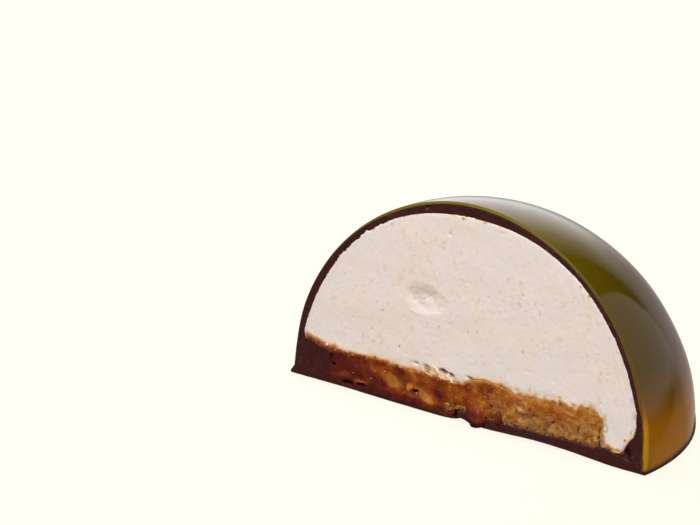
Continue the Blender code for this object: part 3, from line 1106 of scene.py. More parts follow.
# Swells, pits and stains of the foam's cut face, the dent first, then what the caramel and the cut dirtied
FOAM_RELIEF = spots(
    (-6.7, 15.6, 4.4, 2.3, -0.28, 0, -6, 0.25), (-7.2, 15.9, 2.6, 1.1, -0.04, 0, -10),
    (-8.2, 13.45, 2, 0.22, 0.07, 0, -10), (-5, 13.9, 2.4, 0.22, 0.06, 0, 10),
    (-3.15, 25.3, 0.55, 0.28, -0.2, 0, -20), (26.6, 3.9, 0.42, 0.4, 0.08, 0.72),
)
# Stains of the foam's cut face, and painted brown shade in the gap beside the biscuit's right end
FOAM_STAINS_AND_SHADE = stains(
    (-9.45, 16.4, 0.5, 0.2, 0.2, 60), (-8.4, 16, 0.55, 0.2, 0.24, 70), (-8.9, 15.2, 0.3, 0.22, 0.36),
    (-7, 15.45, 0.7, 0.26, 0.26, 20), (-6.1, 16.25, 0.22, 0.2, 0.4), (-3.8, 16.4, 0.25, 0.18, 0.28),
    (-3.2, 15.95, 0.3, 0.18, 0.34, -40), (-16.6, 22, 0.3, 0.8, 0.34),
    (-13.3, 23.1, 0.75, 0.32, 0.44, -48), (-12.3, 22.68, 0.9, 0.32, 0.42, -12),
    (-10.6, 22.8, 1, 0.32, 0.4, 4), (-9.95, 23, 0.3, 0.6, 0.38), (-5.4, 26.75, 0.9, 0.16, 0.45, -16),
    (-6.2, 26.6, 0.3, 0.15, 0.3, 40), (-2.6, 27.9, 0.8, 0.34, 0.6, -10), (-1, 27.8, 0.9, 0.4, 0.66, -6),
    (1, 27.95, 0.9, 0.3, 0.5), (2.4, 27.85, 1, 0.34, 0.62, -4), (4.9, 27.7, 0.7, 0.3, 0.45, -8),
    (8.2, 26.4, 1.7, 0.9, 0.15, -35), (9.9, 25.4, 1.5, 0.8, 0.13, -35), (4.5, 22.1, 0.8, 0.7, 0.16),
    (16.7, 23.5, 0.4, 0.26, 0.7, -48), (18.2, 22.3, 0.4, 0.26, 0.65, -50),
    (19.6, 21.35, 0.5, 0.4, 1, -50), (19, 16.4, 0.6, 0.5, 0.3), (2.6, 14.95, 0.7, 0.6, 0.32),
    (9.95, 11.85, 0.55, 0.5, 0.42), (16.7, 11.3, 0.55, 0.4, 0.3), (-25.4, 10.5, 1.4, 4.2, 0.15, -14),
    (21, 16.8, 0.3, 0.5, 0.18), (-26.9, 5.75, 1.1, 0.4, 0.7, -20), (-25, 5.25, 1.5, 0.5, 0.8, -12),
    (-23.4, 4.95, 1, 0.4, 0.85, -8), (-4.6, 5.9, 5, 1, 0.42, 0, 0.3), (-0.6, 5.7, 1.9, 0.6, 0.55),
    (-8.4, 5.7, 1.4, 0.6, 0.5), (0.8, 12.63, 0.26, 0.24, 0.75), (-10.65, 8.2, 0.28, 0.55, 0.6, -20),
    (9.5, 6.7, 0.6, 0.9, 0.5, 50), (11.5, 6.95, 0.36, 0.9, 0.5, 10),
    (12.6, 6.6, 0.7, 0.6, 0.45, 20, 0.2), (14.1, 6.9, 0.6, 0.6, 0.4, 8),
    (16.4, 6.6, 0.7, 0.5, 0.78, -10, 0.2), (16.3, 7.1, 0.6, 0.6, 0.42, 12, 0.2),
    (18.6, 6.6, 0.9, 0.5, 0.5, -6, 0.2), (21.2, 7.1, 1, 0.7, 0.4, -10, 0.3),
    (21.9, 6.3, 0.7, 0.6, 0.55, -40), (23.2, 5.8, 0.9, 0.3, 0.42, -8, 0.2),
    (24.9, 2.35, 1.1, 0.42, 0.62, -14, 0.2), (25.7, 2.3, 0.8, 0.45, 0.95),
    (-6.9, 6.2, 1.3, 0.5, 0.4, -10), (-14.5, 6.1, 2.4, 0.5, 0.22, -4), (25.4, 3.6, 0.4, 0.5, 0.2),
    # The first two stains on the next line are painted brown shade in the gap beside the biscuit's right end
    (23.2, 3.3, 0.95, 2, 0.6, 6), (24.1, 2.5, 1.4, 0.8, 0.55, -20), (27.6, 9, 0.25, 1.2, 0.3, 14),
    (27.95, 6.9, 0.25, 1.4, 0.42, 6), (27.4, 5, 0.4, 0.9, 0.5, -20),
)

# Hollows over the caramel, the gap in the tail and soft marks inside the dent, darkened as painted shade; the
# smallest marks in the dent are brown specks
SHADED_HOLLOWS = spots(
    (-7.7, 6.42, 0.85, 0.2, -0.4, 0.7, -6, 0.2), (-5.75, 6.15, 1, 0.52, -0.5, 0.6, -12, 0.3),
    (-2.9, 6.25, 1, 0.46, -0.8, 0.85, -8, 0.35), (-1.55, 6, 0.75, 0.4, -0.8, 0.8, -12, 0.35),
    (1.65, 6.4, 0.85, 0.25, -0.6, 0.8, -6, 0.4), (23.1, 3, 1.1, 2, -0.1, 0.55, 4),
    (23.9, 2.2, 1.5, 0.8, -0.08, 0.5, -10), (26.7, 2.7, 0.9, 0.7, -0.05, 0.45, 40),
    (-8.4, 15.8, 2, 1.1, -0.02, 0.17, -20), (-7.4, 15.1, 1.3, 0.7, -0.02, 0.17, 10),
    (-9.3, 16.6, 0.75, 0.3, -0.03, 0.22, 60), (-8.3, 16.1, 0.8, 0.3, -0.04, 0.26, 70),
    (-8.7, 15.3, 0.34, 0.28, -0.05, 0.4), (-7.3, 15.5, 0.9, 0.34, -0.04, 0.24, 20),
    (-7.4, 16.8, 0.9, 0.26, -0.03, 0.2, -20), (-6.1, 16.3, 0.26, 0.22, -0.05, 0.45),
    (-5.2, 16.9, 0.6, 0.2, -0.03, 0.2, -30), (-3.7, 16.4, 0.3, 0.2, -0.04, 0.3),
    (-3.1, 15.9, 0.34, 0.2, -0.04, 0.34, -40),
)

# Middle and radius of a glassy bubble in the foam, whose rim is painted as a ring of shade
BUBBLE = (23.5, 4.74)
BUBBLE_RADIUS = 0.36


@dataclass
class MarshmallowFilling:
    """The whipped filling, with its dent, its ragged edge over the shell and its tail past the disc."""

    face: FineFace = FineFace(420, 140, 24)
    reach: float = 28.1
    clearance: float = 0.12
    heart_height: float = 7.0
    back_end: tuple[float, float, float] = (0.0, 28.0, 6.5)

    def __post_init__(self) -> None:
        """Works out the lower edge of the fine face, a little way down behind the disc."""
        self.hem = curve_through((
            (-self.reach, 6.7), (-27.7, 5.2), (-27.0, 4.6), (-20.0, 4.3), (0.0, 4.6), (19.0, 5.0),
            (21.4, 4.2), (22.8, 2.3), (24.6, 1.9), (26.2, 2.1), (27.0, 3.15), (27.45, 4.1),
            (27.9, 4.7), (self.reach, 5.6),
        ))

    def top(self, x: float) -> float:
        """Height at which the filling meets the shell."""
        z = FILLING.height_at(abs(x))
        for _ in range(3):
            z = FILLING.height_at(math.hypot(x, KNIFE.y_at(z)))
        return z

    def depth(self, x: float, z: float) -> float:
        """How far behind the knife's plane the foam lies."""
        depth = 0.08 * ripple(x, z, 5.0, 3.1) + 0.03 * ripple(x, z, 1.7, 5.5) - 0.05
        depth += 0.016 * ripple(x, z, 0.7, 9.3) + 0.01 * ripple(x, z, 0.33, 1.9)
        depth += 0.02 * noise.noise(Vector(((x + 0.35 * z) / 0.5, 2.0, z / 3.5)))
        depth += 0.07 * fade(ripple(x, z, 0.7, 14.2), 0.55, 0.75)
        inside = FOAM_RELIEF[0].share(x, z)
        if inside:
            depth += inside * (0.1 * ripple(x, z, 1.2, 4.8) + 0.06 * ripple(x, z, 0.45, 8.8))
        for spot in (*FOAM_RELIEF, *SHADED_HOLLOWS):
            depth -= spot.rise * spot.share(x, z)
        over = disc_outside(x, z) + fray(x, z)
        depth = mix(depth, crag(x, z), fade(over, 1.3, 0.1))
        return depth + 0.9 * fade(over, 0.1, -0.42)

    def stain(self, point: Vector) -> float:
        """Strength of the caramel stain at a point, with painted brown shade in the gap beside the biscuit's
        right end.
        """
        x, z = point.x, point.z
        over = disc_outside(x, z)
        patchy = 0.75 + 0.5 * ripple(x, z, 1.1, 6.4) + 0.2 * ripple(x, z, 0.5, 3.4)
        fibres = max(0.3 + 1.0 * ripple(x / 0.8, z / 2.4, 1.0, 4.9), 0.0)
        reach = mix(0.6, 0.5 + 0.8 * fibres, fade(x, 5.0, 9.0))
        soaked = 0.5 * fade(over, reach, -0.1) * min(max(patchy, 0.0), 1.0)
        soaked += 0.2 * fade(over, 2.0, 0.3) * min(max(patchy + 0.3, 0.0), 1.0)
        wedge = 0.95 * fade(over, 1.8, 0.2) * fade(x, -20.6, -23.0) * fade(x, -28.4, -27.4)
        soaked = max(soaked, wedge * (0.94 + 0.16 * ripple(x, z, 0.6, 6.9)))
        foot = fade(z - self.hem(x), 1.1, 0.1) * fade(x, 22.3, 23.0)
        soaked = max(soaked, foot * min(max(0.48 + 0.7 * ripple(x, z, 0.9, 2.4), 0.0), 0.8))
        rubbed = max(spot.tint * spot.share(x, z) for spot in (*FOAM_RELIEF, *FOAM_STAINS_AND_SHADE))
        return max(soaked, rubbed * (0.85 + 0.5 * ripple(x, z, 0.5, 5.2)))

    def shade(self, point: Vector) -> float:
        """Painted shade at a point: in the hollows, the tail's gap and the dent, a ring round a glassy
        bubble, and grey along the shell on the right.
        """
        x, z = point.x, point.z
        hollow = max(spot.tint * fade(spot.share(x, z), 0.2, 0.9) for spot in SHADED_HOLLOWS)
        # The glassy bubble's rim is a painted ring of shade
        ring = fade(abs(math.hypot(x - BUBBLE[0], (z - BUBBLE[1]) * 0.75) - BUBBLE_RADIUS), 0.2, 0.05)
        inside = shell_inner(KNIFE.angle_of(x, z), z) - math.hypot(x, point.y)
        edge = fade(inside, 0.8, 0.1) * fade(ripple(x, z, 1.1, 5.9), -0.4, 0.4) * fade(z, 11.0, 8.0)
        return max(hollow, 0.4 * ring, 0.34 * edge * fade(x, 20.0, 22.0))

    def build(self) -> bpy.types.Object:
        """Lays the fine cut face inside the shell's arc and closes the filling behind it."""

        def place(along: float, up: float, back: float) -> Vector:
            """A point of the filling."""
            x = -self.reach * math.cos(math.pi * along)
            low = self.hem(x)
            z = mix(low, max(self.top(x), low), up)
            if back:
                front = KNIFE.on_face(x, z)
                angle = math.atan2(front.y, front.x)
                side = (lambda h: shell_inner(angle, h) - self.clearance) if up > 0.999 else None
                point = back_point(front, Vector(self.back_end), back, side)
                room = shell_inner(angle, point.z) - self.clearance
                scale = min(room / math.hypot(point.x, point.y), 1.0)
                return Vector((point.x * scale, point.y * scale, point.z))
            reach = math.hypot(x, z - self.heart_height)
            rough = 0.12 * ripple(x, z, 0.9, 7.7) + 0.16 * ripple(x, z, 0.35, 1.2)
            torn = fade(abs(x + 15.0), 11.0, 5.0) * fade(z, 12.0, 16.0)
            ragged = 0.06 + rough * (mix(0.45, 2.0, torn) + 0.7 * fade(x, 24.0, 26.0) * fade(z, 9.0, 6.0))
            ragged *= max(fade(z, 6.0, 8.0), fade(x, 22.0, 24.0))
            grow = 1.0 + ragged * fade(up, 0.8, 1.0) / reach
            x, z = x * grow, self.heart_height + (z - self.heart_height) * grow
            rounded = 0.1 * fade(up, 0.985, 1.0)
            return KNIFE.on_face(x, z, self.depth(x, z) + rounded)

        tints: Tints = {"stain": self.stain, "shade": self.shade}
        bm = self.face.solid(place)
        finish = WhippedMarshmallow("whipped marshmallow")
        return publish(bm, "marshmallow_foam", (finish,), Slot.MARSHMALLOW, ("marshmallow",), tints)


# Swells and holes of the caramel's cut face, and how much paler or darker each one is; the holes with the
# lowest tints are painted near black as shade
CARAMEL_SPOTS = spots(
    (-22.4, 3.05, 0.45, 0.3, -0.4, -0.46), (-19.7, 0.98, 1.2, 0.26, -0.7, -0.8, 3, 0.2),
    (-17.2, 1.2, 1, 0.27, -0.9, -1.2, 4, 0.4), (-17.4, 1.4, 1.9, 0.75, 0.03, 0.5, 4),
    (-20.4, 1.9, 1.8, 0.75, 0.02, 0.26, 8), (-7.45, 2.5, 0.68, 0.2, -0.9, -1.6, 10, 0.4),
    (-11.7, 2.95, 3, 1.35, 0.07, 0.42, -14, 0.3), (-8.6, 4.9, 1.1, 0.6, 0.02, 0.2),
    (-3.2, 4.4, 1.4, 0.8, 0.02, 0.1), (11.7, 4.35, 0.9, 0.5, 0.02, -0.24),
    (14.1, 5.7, 1.4, 0.4, 0.02, 0.14, -4), (14.2, 4.6, 1.2, 0.4, 0.02, -0.12, -4),
    (-20, 2.35, 0.9, 0.3, 0.03, 0.22, -6), (-14.9, 1.9, 1, 1.4, 0.03, -0.12),
    (-8.55, 2.8, 0.75, 0.95, 0.12, 0.42, -30, 0.3), (-5.9, 2.1, 2.9, 0.95, 0.05, 0.24, -22, 0.2),
    (-8, 1.6, 1, 0.5, 0.04, 0.14, -20), (-3.6, 3.1, 1.5, 0.9, 0.05, -0.14, -20),
    (-14.8, 3.9, 1.4, 1, 0.03, 0.1, -10), (-13.2, 4.4, 3, 0.9, 0.03, 0.08, -6),
    (-18.6, 3.2, 2, 0.8, 0.03, -0.06), (-15.6, 2.7, 1.2, 0.9, 0.03, -0.1),
    (-9.6, 4.6, 1.6, 0.7, 0.03, -0.08), (-6.6, 3.9, 1.8, 1, 0.08, -0.08, -15),
    (-1.2, 3.4, 1.6, 0.9, 0.04, -0.08, -10), (2.2, 3.4, 2, 1.2, 0.06, 0.03),
    (5.5, 3.55, 0.32, 0.32, -0.15, -0.35), (4.4, 4.5, 1.5, 0.9, 0.06, -0.06, -15),
    (7.6, 3.9, 1.2, 0.7, 0.03, -0.14), (9.8, 3.9, 1.2, 0.8, 0.03, 0.16), (12, 3.2, 1.5, 0.9, 0.03, 0.12),
    (13.6, 5.2, 2, 0.5, 0.03, -0.08, -6), (18.2, 5.2, 2.2, 0.3, 0.08, 0.14, -8),
    (17.5, 4.3, 2.6, 0.5, 0.03, -0.08, -4), (16.4, 6.2, 0.9, 0.5, -0.15, -0.2, -10),
)

# Gaps in the caramel through which the biscuit shows
CRUMB_WINDOWS = (Spot(-1.6, 1.5, 1.35, 1.05, lean=-30.0), Spot(0.1, 2.05, 1.5, 0.42, lean=-4.0))


@dataclass
class CaramelLayer:
    """The caramel over the biscuit, dragged down over the biscuit's cut on the left, with its one drip."""

    face: FineFace = FineFace(500, 70, 14)
    left: float = -24.2
    drip_x: float = 2.85
    # Holes whose tint is at or below this are painted near black as shade
    hollow: float = -0.45

    def __post_init__(self) -> None:
        """Works out the caramel's lower edge on the cut."""
        self.hem = curve_through((
            (self.left, 0.55), (-12.0, 0.5), (-3.0, 0.45), (-0.75, 0.5), (-0.45, 1.5), (1.3, 1.7),
            (4.6, 1.6), (6.0, 1.65), (7.5, 2.0), (9.4, 3.3), (13.4, 4.1), (18.9, 4.1), (20.6, 4.5),
            (22.2, 4.8), (23.6, 5.0),
        ))

    def drip(self, x: float, z: float) -> float:
        """Share of the drip at a point of the face: 1 along its middle."""
        middle = self.drip_x + 0.6 * fade(z, 2.4, 0.4)
        half = 1.6 - 0.55 * fade(z, 1.4, 0.0)
        across = (x - middle) / half
        over = max((0.5 - z) / 0.6, 0.0)
        return 1.0 - math.hypot(across, over)

    def shown(self, x: float, z: float) -> float:
        """How far inside the caramel's visible patch a point is, negative outside it."""
        hem = self.hem(x) + fray(x, z) * 0.7
        inside = min(z - hem, x + 23.45 + 0.2 * ripple(x, z, 1.0, 2.1))
        window = max(spot.share(x, z) for spot in CRUMB_WINDOWS)
        return min(inside, 0.5 - 1.5 * window + 0.4 * ripple(x, z, 0.5, 2.9))

    def depth(self, x: float, z: float) -> float:
        """How far behind the knife's plane the caramel lies."""
        depth = crag(x, z) + 0.02 * ripple(x, z, 0.3, 7.9)
        for spot in CARAMEL_SPOTS:
            depth -= spot.rise * spot.share(x, z)
        depth -= 0.1 * fade(x, -0.4, -1.2) * fade(z, 2.0, 1.4)
        over = disc_outside(x, z)
        thin = fade(x, 6.0, 9.0)
        depth += 0.7 * fade(over, 0.35, 0.6) + mix(0.16, 0.08, thin) * fade(over + fray(x, z), -0.1, 0.14)
        depth += mix(0.8, 0.42, thin) * fade(self.shown(x, z), 0.05 + 0.25 * thin, -0.5 - 0.6 * thin)
        drip = self.drip(x, z)
        if drip > -0.4 and z < 3.6:
            full = fade(drip, 0.0, 0.7) ** 0.5
            forward = -(0.6 * fade(z, 3.4, 1.6) + 0.5 * fade(z, 1.6, 0.2)) * full
            depth = mix(depth, min(depth, forward - 0.1), fade(drip, -0.05, 0.12))
        return depth

    def amber(self, point: Vector) -> float:
        """How pale the caramel is at a point: dark red at the left and at the foot, amber to the right, and
        near black as painted shade in its deep holes.
        """
        x, z = point.x, point.z
        pale = mix(0.16, 0.34, fade(x, -19.5, -12.5) * fade(z, 2.2, 4.4))
        pale = mix(pale, 0.41, fade(x, -14.0, -4.0))
        pale = mix(pale, 0.57, fade(x, 1.0, 9.0))
        pale -= 0.2 * fade(z, 1.9, 0.9) * fade(x, 0.5, -3.0)
        swirl = 0.22 * ripple(x, z, 2.4, 4.1) + 0.13 * ripple(x, z, 0.9, 4.7) + 0.05 * ripple(x, z, 0.35, 4.3)
        pale += swirl * mix(0.5, 1.0, fade(x, -20.0, -14.0))
        pale += mix(0.32, 0.1, fade(x, 5.0, 10.0)) * fade(disc_outside(x, z) + 0.3 * fray(x, z), -0.45, 0.1)
        pale += 0.1 * fade(self.shown(x, z), 0.8, 0.0) * fade(x, 4.0, 8.0)
        pale += sum(spot.tint * spot.share(x, z) for spot in CARAMEL_SPOTS if spot.tint > self.hollow)
        pale = max(mix(pale, 0.17, 0.8 * fade(self.drip(x, z), -0.1, 0.25) * fade(z, 3.4, 2.0)), 0.12)
        pale = mix(pale, 0.11, fade(x, -21.5, -23.2) * fade(z, 4.9, 4.3))
        pale = mix(pale, 0.09, fade(self.drip(x, z), 0.0, 0.3) * fade(z, 1.5, 0.8))
        # The deep holes are added last and painted near black as shade
        return pale + sum(spot.tint * spot.share(x, z) for spot in CARAMEL_SPOTS if spot.tint <= self.hollow)

    def build(self) -> bpy.types.Object:
        """Lays the fine cut face of the disc and closes the caramel behind it."""
        right = DISC_RADIUS + 0.5

        def place(along: float, up: float, back: float) -> Vector:
            """A point of the caramel."""
            x = mix(self.left, right, along)
            dips = 1.75 * fade(abs(x - self.drip_x - 0.4), 3.0, 1.6)
            low = max(self.hem(x) - 0.7 - 0.5 * fade(x, 6.0, 9.0) - dips, 0.05)
            z = mix(low, DISC_TOP(x) + 0.7, up)
            if back:
                end = Vector((0.0, DISC_RADIUS - 0.1, mix(CARAMEL_LOW + 0.5, 5.4, up)))
                inner = Vector((x * 0.985, KNIFE.y_at(z) + 0.8, mix(1.75, DISC_TOP(x) - 0.2, up)))
                return back_point(inner, end, back)
            return KNIFE.on_face(x, z, self.depth(x, z))

        bm = self.face.solid(place)
        tints: Tints = {"amber": self.amber}
        finish = SoftCaramel("soft caramel")
        return publish(bm, "caramel_layer", (finish,), Slot.CARAMEL, ("caramel",), tints)


@dataclass
class BiscuitDisc:
    """The crumbly biscuit under the caramel, which shows on the right and in one gap near the middle."""

    face: FineFace = FineFace(430, 48, 14)
    shown_from: float = -3.2
    hidden_share: float = 0.12

    def depth(self, x: float, z: float) -> float:
        """How far behind the knife's plane the crumb lies."""
        depth = crag(x, z) + 0.03
        depth += 0.12 * ripple(x, z, 1.3, 6.6) + 0.09 * ripple(x, z, 0.65, 3.6)
        depth += 0.05 * ripple(x, z, 0.3, 1.6)
        depth += 0.24 * fade(ripple(x, z, 0.6, 11.5), 0.42, 0.7)
        depth += 0.7 * fade(x + 0.5 * fray(x, z), DISC_RADIUS - 0.4, DISC_RADIUS + 0.1)
        depth += 0.06 * fade(x, 3.0, 1.0) + 0.1 * fade(z - plate_top(x), 0.4, 0.0) * fade(x, 3.0, 5.0)
        return depth + 1.0 * fade(x, self.shown_from + 0.6, self.shown_from)

    def shade(self, point: Vector) -> float:
        """Painted shade at a point: in the pores and the gaps between crumbs, black pores in the gap near the
        middle, and darker near the plate.
        """
        x, z = point.x, point.z
        pore = 0.6 * fade(ripple(x, z, 0.6, 11.5), 0.4, 0.68)
        gap = 0.45 * fade(ripple(x, z, 1.3, 6.6) + ripple(x, z, 0.65, 3.6), 0.3, 0.9)
        foot = 0.55 * fade(z - plate_top(x), 0.9, 0.05) * fade(ripple(x, z, 1.6, 5.3), -0.4, 0.2)
        hole = fade(ripple(x, z, 0.34, 3.3), 0.12, 0.3) * fade(x, 1.6, 1.0)
        return max(pore, gap, foot, hole)

    def soak(self, point: Vector) -> float:
        """How far caramel has soaked in at a point: wholly at its lower edge, fading down into the crumb."""
        x, z = point.x, point.z
        return 0.9 * fade(CaramelLayer().shown(x, z) + 0.4 * ripple(x, z, 0.9, 8.3), -1.1, 0.1)

    def build(self) -> bpy.types.Object:
        """Lays the fine crumb of the cut and closes the disc behind it."""

        def place(along: float, up: float, back: float) -> Vector:
            """A point of the biscuit."""
            if along < self.hidden_share:
                x = mix(-DISC_RADIUS, self.shown_from, along / self.hidden_share)
            else:
                share = (along - self.hidden_share) / (1 - self.hidden_share)
                x = mix(self.shown_from, DISC_RADIUS + 0.05, share)
            top = mix(3.4, 5.4, fade(x, self.shown_from - 1.0, self.shown_from))
            foot = mix(plate_top(x) - 0.1, 0.95, fade(x, -0.8, -1.1))
            z = mix(foot, top, up)
            if back:
                end = Vector((0.0, DISC_RADIUS - 0.1, mix(1.7, 3.5, up)))
                inner = Vector((x * 0.99, KNIFE.y_at(z) + 1.6, mix(1.7, 3.5, up)))
                return back_point(inner, end, back)
            return KNIFE.on_face(x, z, self.depth(x, z))

        bm = self.face.solid(place)
        tints: Tints = {"shade": self.shade, "soak": self.soak}
        finish = BakedBiscuit("baked biscuit")
        return publish(bm, "biscuit_crumb", (finish,), Slot.BISCUIT, ("biscuit",), tints)


@dataclass(frozen=True)
class Blob:
    """A small rounded lump on the cut face. rough is how uneven it is, as a share of its size."""

    x: float
    z: float
    wide: float
    tall: float
    deep: float
    out: float
    lean: float = 0.0
    rough: float = 0.0

    def add(self, bm: Mesh, detail: int = 2) -> None:
        """Adds the lump to a mesh.

        Args:
            bm: The mesh, in millimetres.
            detail: Subdivisions of its ball.
        """
        middle = KNIFE.on_face(self.x, self.z, -self.out)
        turn = Matrix.Rotation(math.radians(-self.lean), 4, "Y")
        size = Matrix.Diagonal((self.wide, self.deep, self.tall, 1.0))
        matrix = Matrix.Translation(middle) @ turn @ size
        ball = bmesh.ops.create_icosphere(bm, subdivisions=detail, radius=1.0, matrix=matrix)
        for vert in ball["verts"]:
            away = vert.co - middle
            vert.co = middle + away * (1.0 + self.rough * noise.noise(away * 2.2 / self.tall + middle * 3.1))


@dataclass(frozen=True)
class Strand:
    """A thin thread on the cut face through (x, z, height above the face) points, tapered at both ends."""

    points: tuple[tuple[float, float, float], ...]
    radius: float

    def add(self, bm: Mesh) -> None:
        """Adds the thread to a mesh in millimetres."""
        places = [index / (len(self.points) - 1) for index in range(len(self.points))]
        along, up, out = (curve_through(list(zip(places, values))) for values in zip(*self.points))
        ball = bmesh.ops.create_uvsphere(bm, u_segments=8, v_segments=36, radius=1.0)
        for vert in ball["verts"]:
            share = math.asin(max(min(vert.co.z, 1.0), -1.0)) / math.pi + 0.5
            heading = Vector((along(share + 0.02) - along(share - 0.02), up(share + 0.02) - up(share - 0.02)))
            heading.normalize()
            thick = self.radius * min(math.hypot(vert.co.x, vert.co.y) * 1.8, 1.0)
            flat = Vector((vert.co.x, vert.co.y)).normalized() if thick > 1e-4 else Vector((0.0, 0.0))
            x = along(share) - heading.y * flat.x * thick
            z = up(share) + heading.x * flat.x * thick
            vert.co = KNIFE.on_face(x, z, -out(share) - flat.y * thick)


# Threads of sugar over the hollows above the caramel
THREADS = (
    Strand(((-6.6, 6.15, 0.05), (-5.95, 5.65, 0.14), (-5.2, 5.3, 0.04)), 0.045),
    Strand(((-5.1, 6.95, 0.02), (-4.35, 6.7, 0.12), (-3.55, 6.15, 0.16), (-2.5, 5.4, 0.05)), 0.05),
    Strand(
        ((-4.55, 6.45, 0.02), (-3.65, 6.05, 0.12), (-3.25, 5.6, 0.16), (-2.6, 5.32, 0.14), (-1.2, 5.5, 0.05)),
        0.05,
    ),
    Strand(((-1.95, 6.35, 0.05), (-1.55, 5.75, 0.14), (-1.2, 5.25, 0.05)), 0.045),
    Strand(((-1.75, 5.55, 0.08), (-1.1, 5.15, 0.12), (-0.5, 5.3, 0.04)), 0.05),
)

# Painted glints in the foam: white beads that stand for highlights, as x, z and size
GLINTS = (
    (-6.55, 25.52, 0.12), (-2.15, 25.52, 0.1), (-10.86, 15.24, 0.11), (-5.09, 19.61, 0.1),
    (0.29, 19.27, 0.08), (14.35, 14.7, 0.1), (15.05, 8.65, 0.12), (-23.8, 5.55, 0.2), (3.5, 24.9, 0.08),
    (-17.5, 14.8, 0.07), (8.2, 11.3, 0.07),
)


def scatter(chance: random.Random, zones: Zones, least: float, spread: float) -> Iterator[tuple[float, ...]]:
    """Scatters small things over zones of the cut face.

    Args:
        chance: Where the draws come from.
        zones: The middle, height, reach across, reach up and number of things of each zone.
        least: Size of the smallest thing.
        spread: How much larger the largest is.

    Returns:
        The x, z and size of each thing, in turn.
    """
    for middle, height, wide, tall, count in zones:
        for _ in range(count):
            x = middle + wide * chance.uniform(-1, 1)
            z = height + tall * chance.uniform(-1, 1)
            yield x, z, least + spread * chance.random() ** 2


@dataclass
class SugarThreadsAndGlints:
    """Threads of sugar drawn over the hollows by the knife, and white beads that are painted glints in the
    layers.

    The glint places are zones that it scatters the glint beads over.
    """

    seed: int = 23
    painted_glint_places: Zones = (
        (-19.6, 5, 1.3, 0.4, 4), (-14, 3.6, 5, 1.3, 6), (-8.5, 2.8, 2.5, 1.2, 5),
        (-6.9, 2.1, 0.8, 0.4, 5), (-4, 4, 4, 1.2, 6), (-1.2, 5.3, 2, 0.4, 7), (2.5, 5, 3, 0.7, 6),
        (6, 5.5, 1.2, 0.6, 7), (3, 2.6, 3, 0.8, 4), (12, 4, 5, 1.4, 4), (20, 5.6, 1.8, 0.9, 4),
    )

    def build(self) -> bpy.types.Object:
        """Draws the threads and sets the white beads of the painted glints."""
        bm = bmesh.new()
        foam = MarshmallowFilling()
        for strand in THREADS:
            strand.add(bm)
        # White beads as painted glints, first on the foam and then on the caramel
        for x, z, size in GLINTS:
            Blob(x, z, size, size, size * 0.7, -foam.depth(x, z)).add(bm)
        caramel = CaramelLayer()
        for x, z, size in scatter(random.Random(self.seed), self.painted_glint_places, 0.035, 0.05):
            Blob(x, z, size * 1.2, size, size * 0.7, -caramel.depth(x, z)).add(bm, 1)
        return publish(bm, "sugar_threads_and_glints", (WetSugarAndGlints("wet sugar and painted glints"),), Slot.MARSHMALLOW)


@dataclass
class CaramelBubbles:
    """Fine bubbles and drops on the caramel's cut face."""

    seed: int = 11
    zones: Zones = (
        (-19.7, 5.2, 1.4, 0.45, 16), (-13, 3.9, 6, 1, 20), (-15.5, 1.7, 3, 0.5, 8),
        (-9.5, 2.3, 2.6, 0.9, 14), (-6.9, 2.2, 0.9, 0.5, 12), (-3, 4.3, 3.6, 0.9, 18),
        (0.4, 5.4, 1.4, 0.5, 20), (3.5, 5.2, 2.6, 0.7, 22), (6.1, 5.6, 1.3, 0.6, 22),
        (2.4, 3.6, 2.6, 0.9, 14), (9, 4.9, 2.5, 0.8, 10), (15, 5.4, 5, 0.7, 14), (20.5, 6, 1.6, 0.7, 12),
    )

    def dark_share(self, point: Vector) -> float:
        """How far a point lies in the dark red drop or in the smear at the foam's foot."""
        return max(Spot(6.8, 1.95, 1.2, 1.6, flat=0.7).share(point.x, point.z), fade(point.x, 25.0, 25.5))

    def build(self) -> bpy.types.Object:
        """Scatters the bubbles over the zones and sets the drops."""
        bm = bmesh.new()
        caramel = CaramelLayer()
        for x, z, size in scatter(random.Random(self.seed), self.zones, 0.06, 0.1):
            Blob(x, z, size * 1.15, size, size * 0.8, -caramel.depth(x, z)).add(bm)
        Blob(6.8, 1.95, 0.6, 0.95, 0.5, 0.05, -4.0, 0.1).add(bm, 3)
        Blob(26.35, 2.0, 0.5, 0.3, 0.16, 0.02, 50.0, 0.5).add(bm, 3)
        Blob(5.5, 3.6, 0.28, 0.26, 0.2, 0.06).add(bm)
        Blob(2.9, 0.75, 0.34, 0.2, 0.2, 0.85).add(bm)
        tints = {"amber": lambda point: mix(caramel.amber(point) * 0.8, 0.24, self.dark_share(point))}
        finish = SoftCaramel("soft caramel bubbles")
        return publish(bm, "caramel_bubbles", (finish,), Slot.CARAMEL, tints=tints)


@dataclass
class BiscuitCrumbs:
    """Loose crumbs in the gap near the middle and along the biscuit's foot."""

    seed: int = 5
    gap: int = 16
    foot: int = 30

    def build(self) -> bpy.types.Object:
        """Scatters the crumbs."""
        bm = bmesh.new()
        chance = random.Random(self.seed)
        for index in range(self.gap):
            share = (index + chance.random()) / self.gap
            x = mix(-2.3, 1.1, share)
            z = mix(1.55, 2.0, share) + mix(0.6, 0.12, share) * chance.uniform(-1, 1)
            size = mix(0.08, 0.2, chance.random())
            out, lean = 0.06 - 0.1 * chance.random(), 40 * chance.random()
            Blob(x, z, size, size * 0.8, size, out, lean, 0.8).add(bm)
        for index in range(self.foot):
            x = mix(7.4, 22.0, (index + chance.random()) / self.foot)
            z = plate_top(x) + 0.3 * chance.random() ** 2
            size = mix(0.08, 0.2, chance.random())
            Blob(x, z, size, size * 0.8, size, -0.06, 60 * chance.random(), 0.5).add(bm)
        Blob(1.25, 1.95, 0.45, 0.36, 0.32, -0.05, -10.0, 0.35).add(bm, 3)
        # shade paints black pores on the crumbs as shade
        tints = {"shade": lambda point: 0.9 * fade(ripple(point.x, point.z, 0.34, 3.3), 0.2, 0.5)}
        return publish(bm, "biscuit_crumbs", (BakedBiscuit("loose crumbs"),), Slot.BISCUIT, tints=tints)


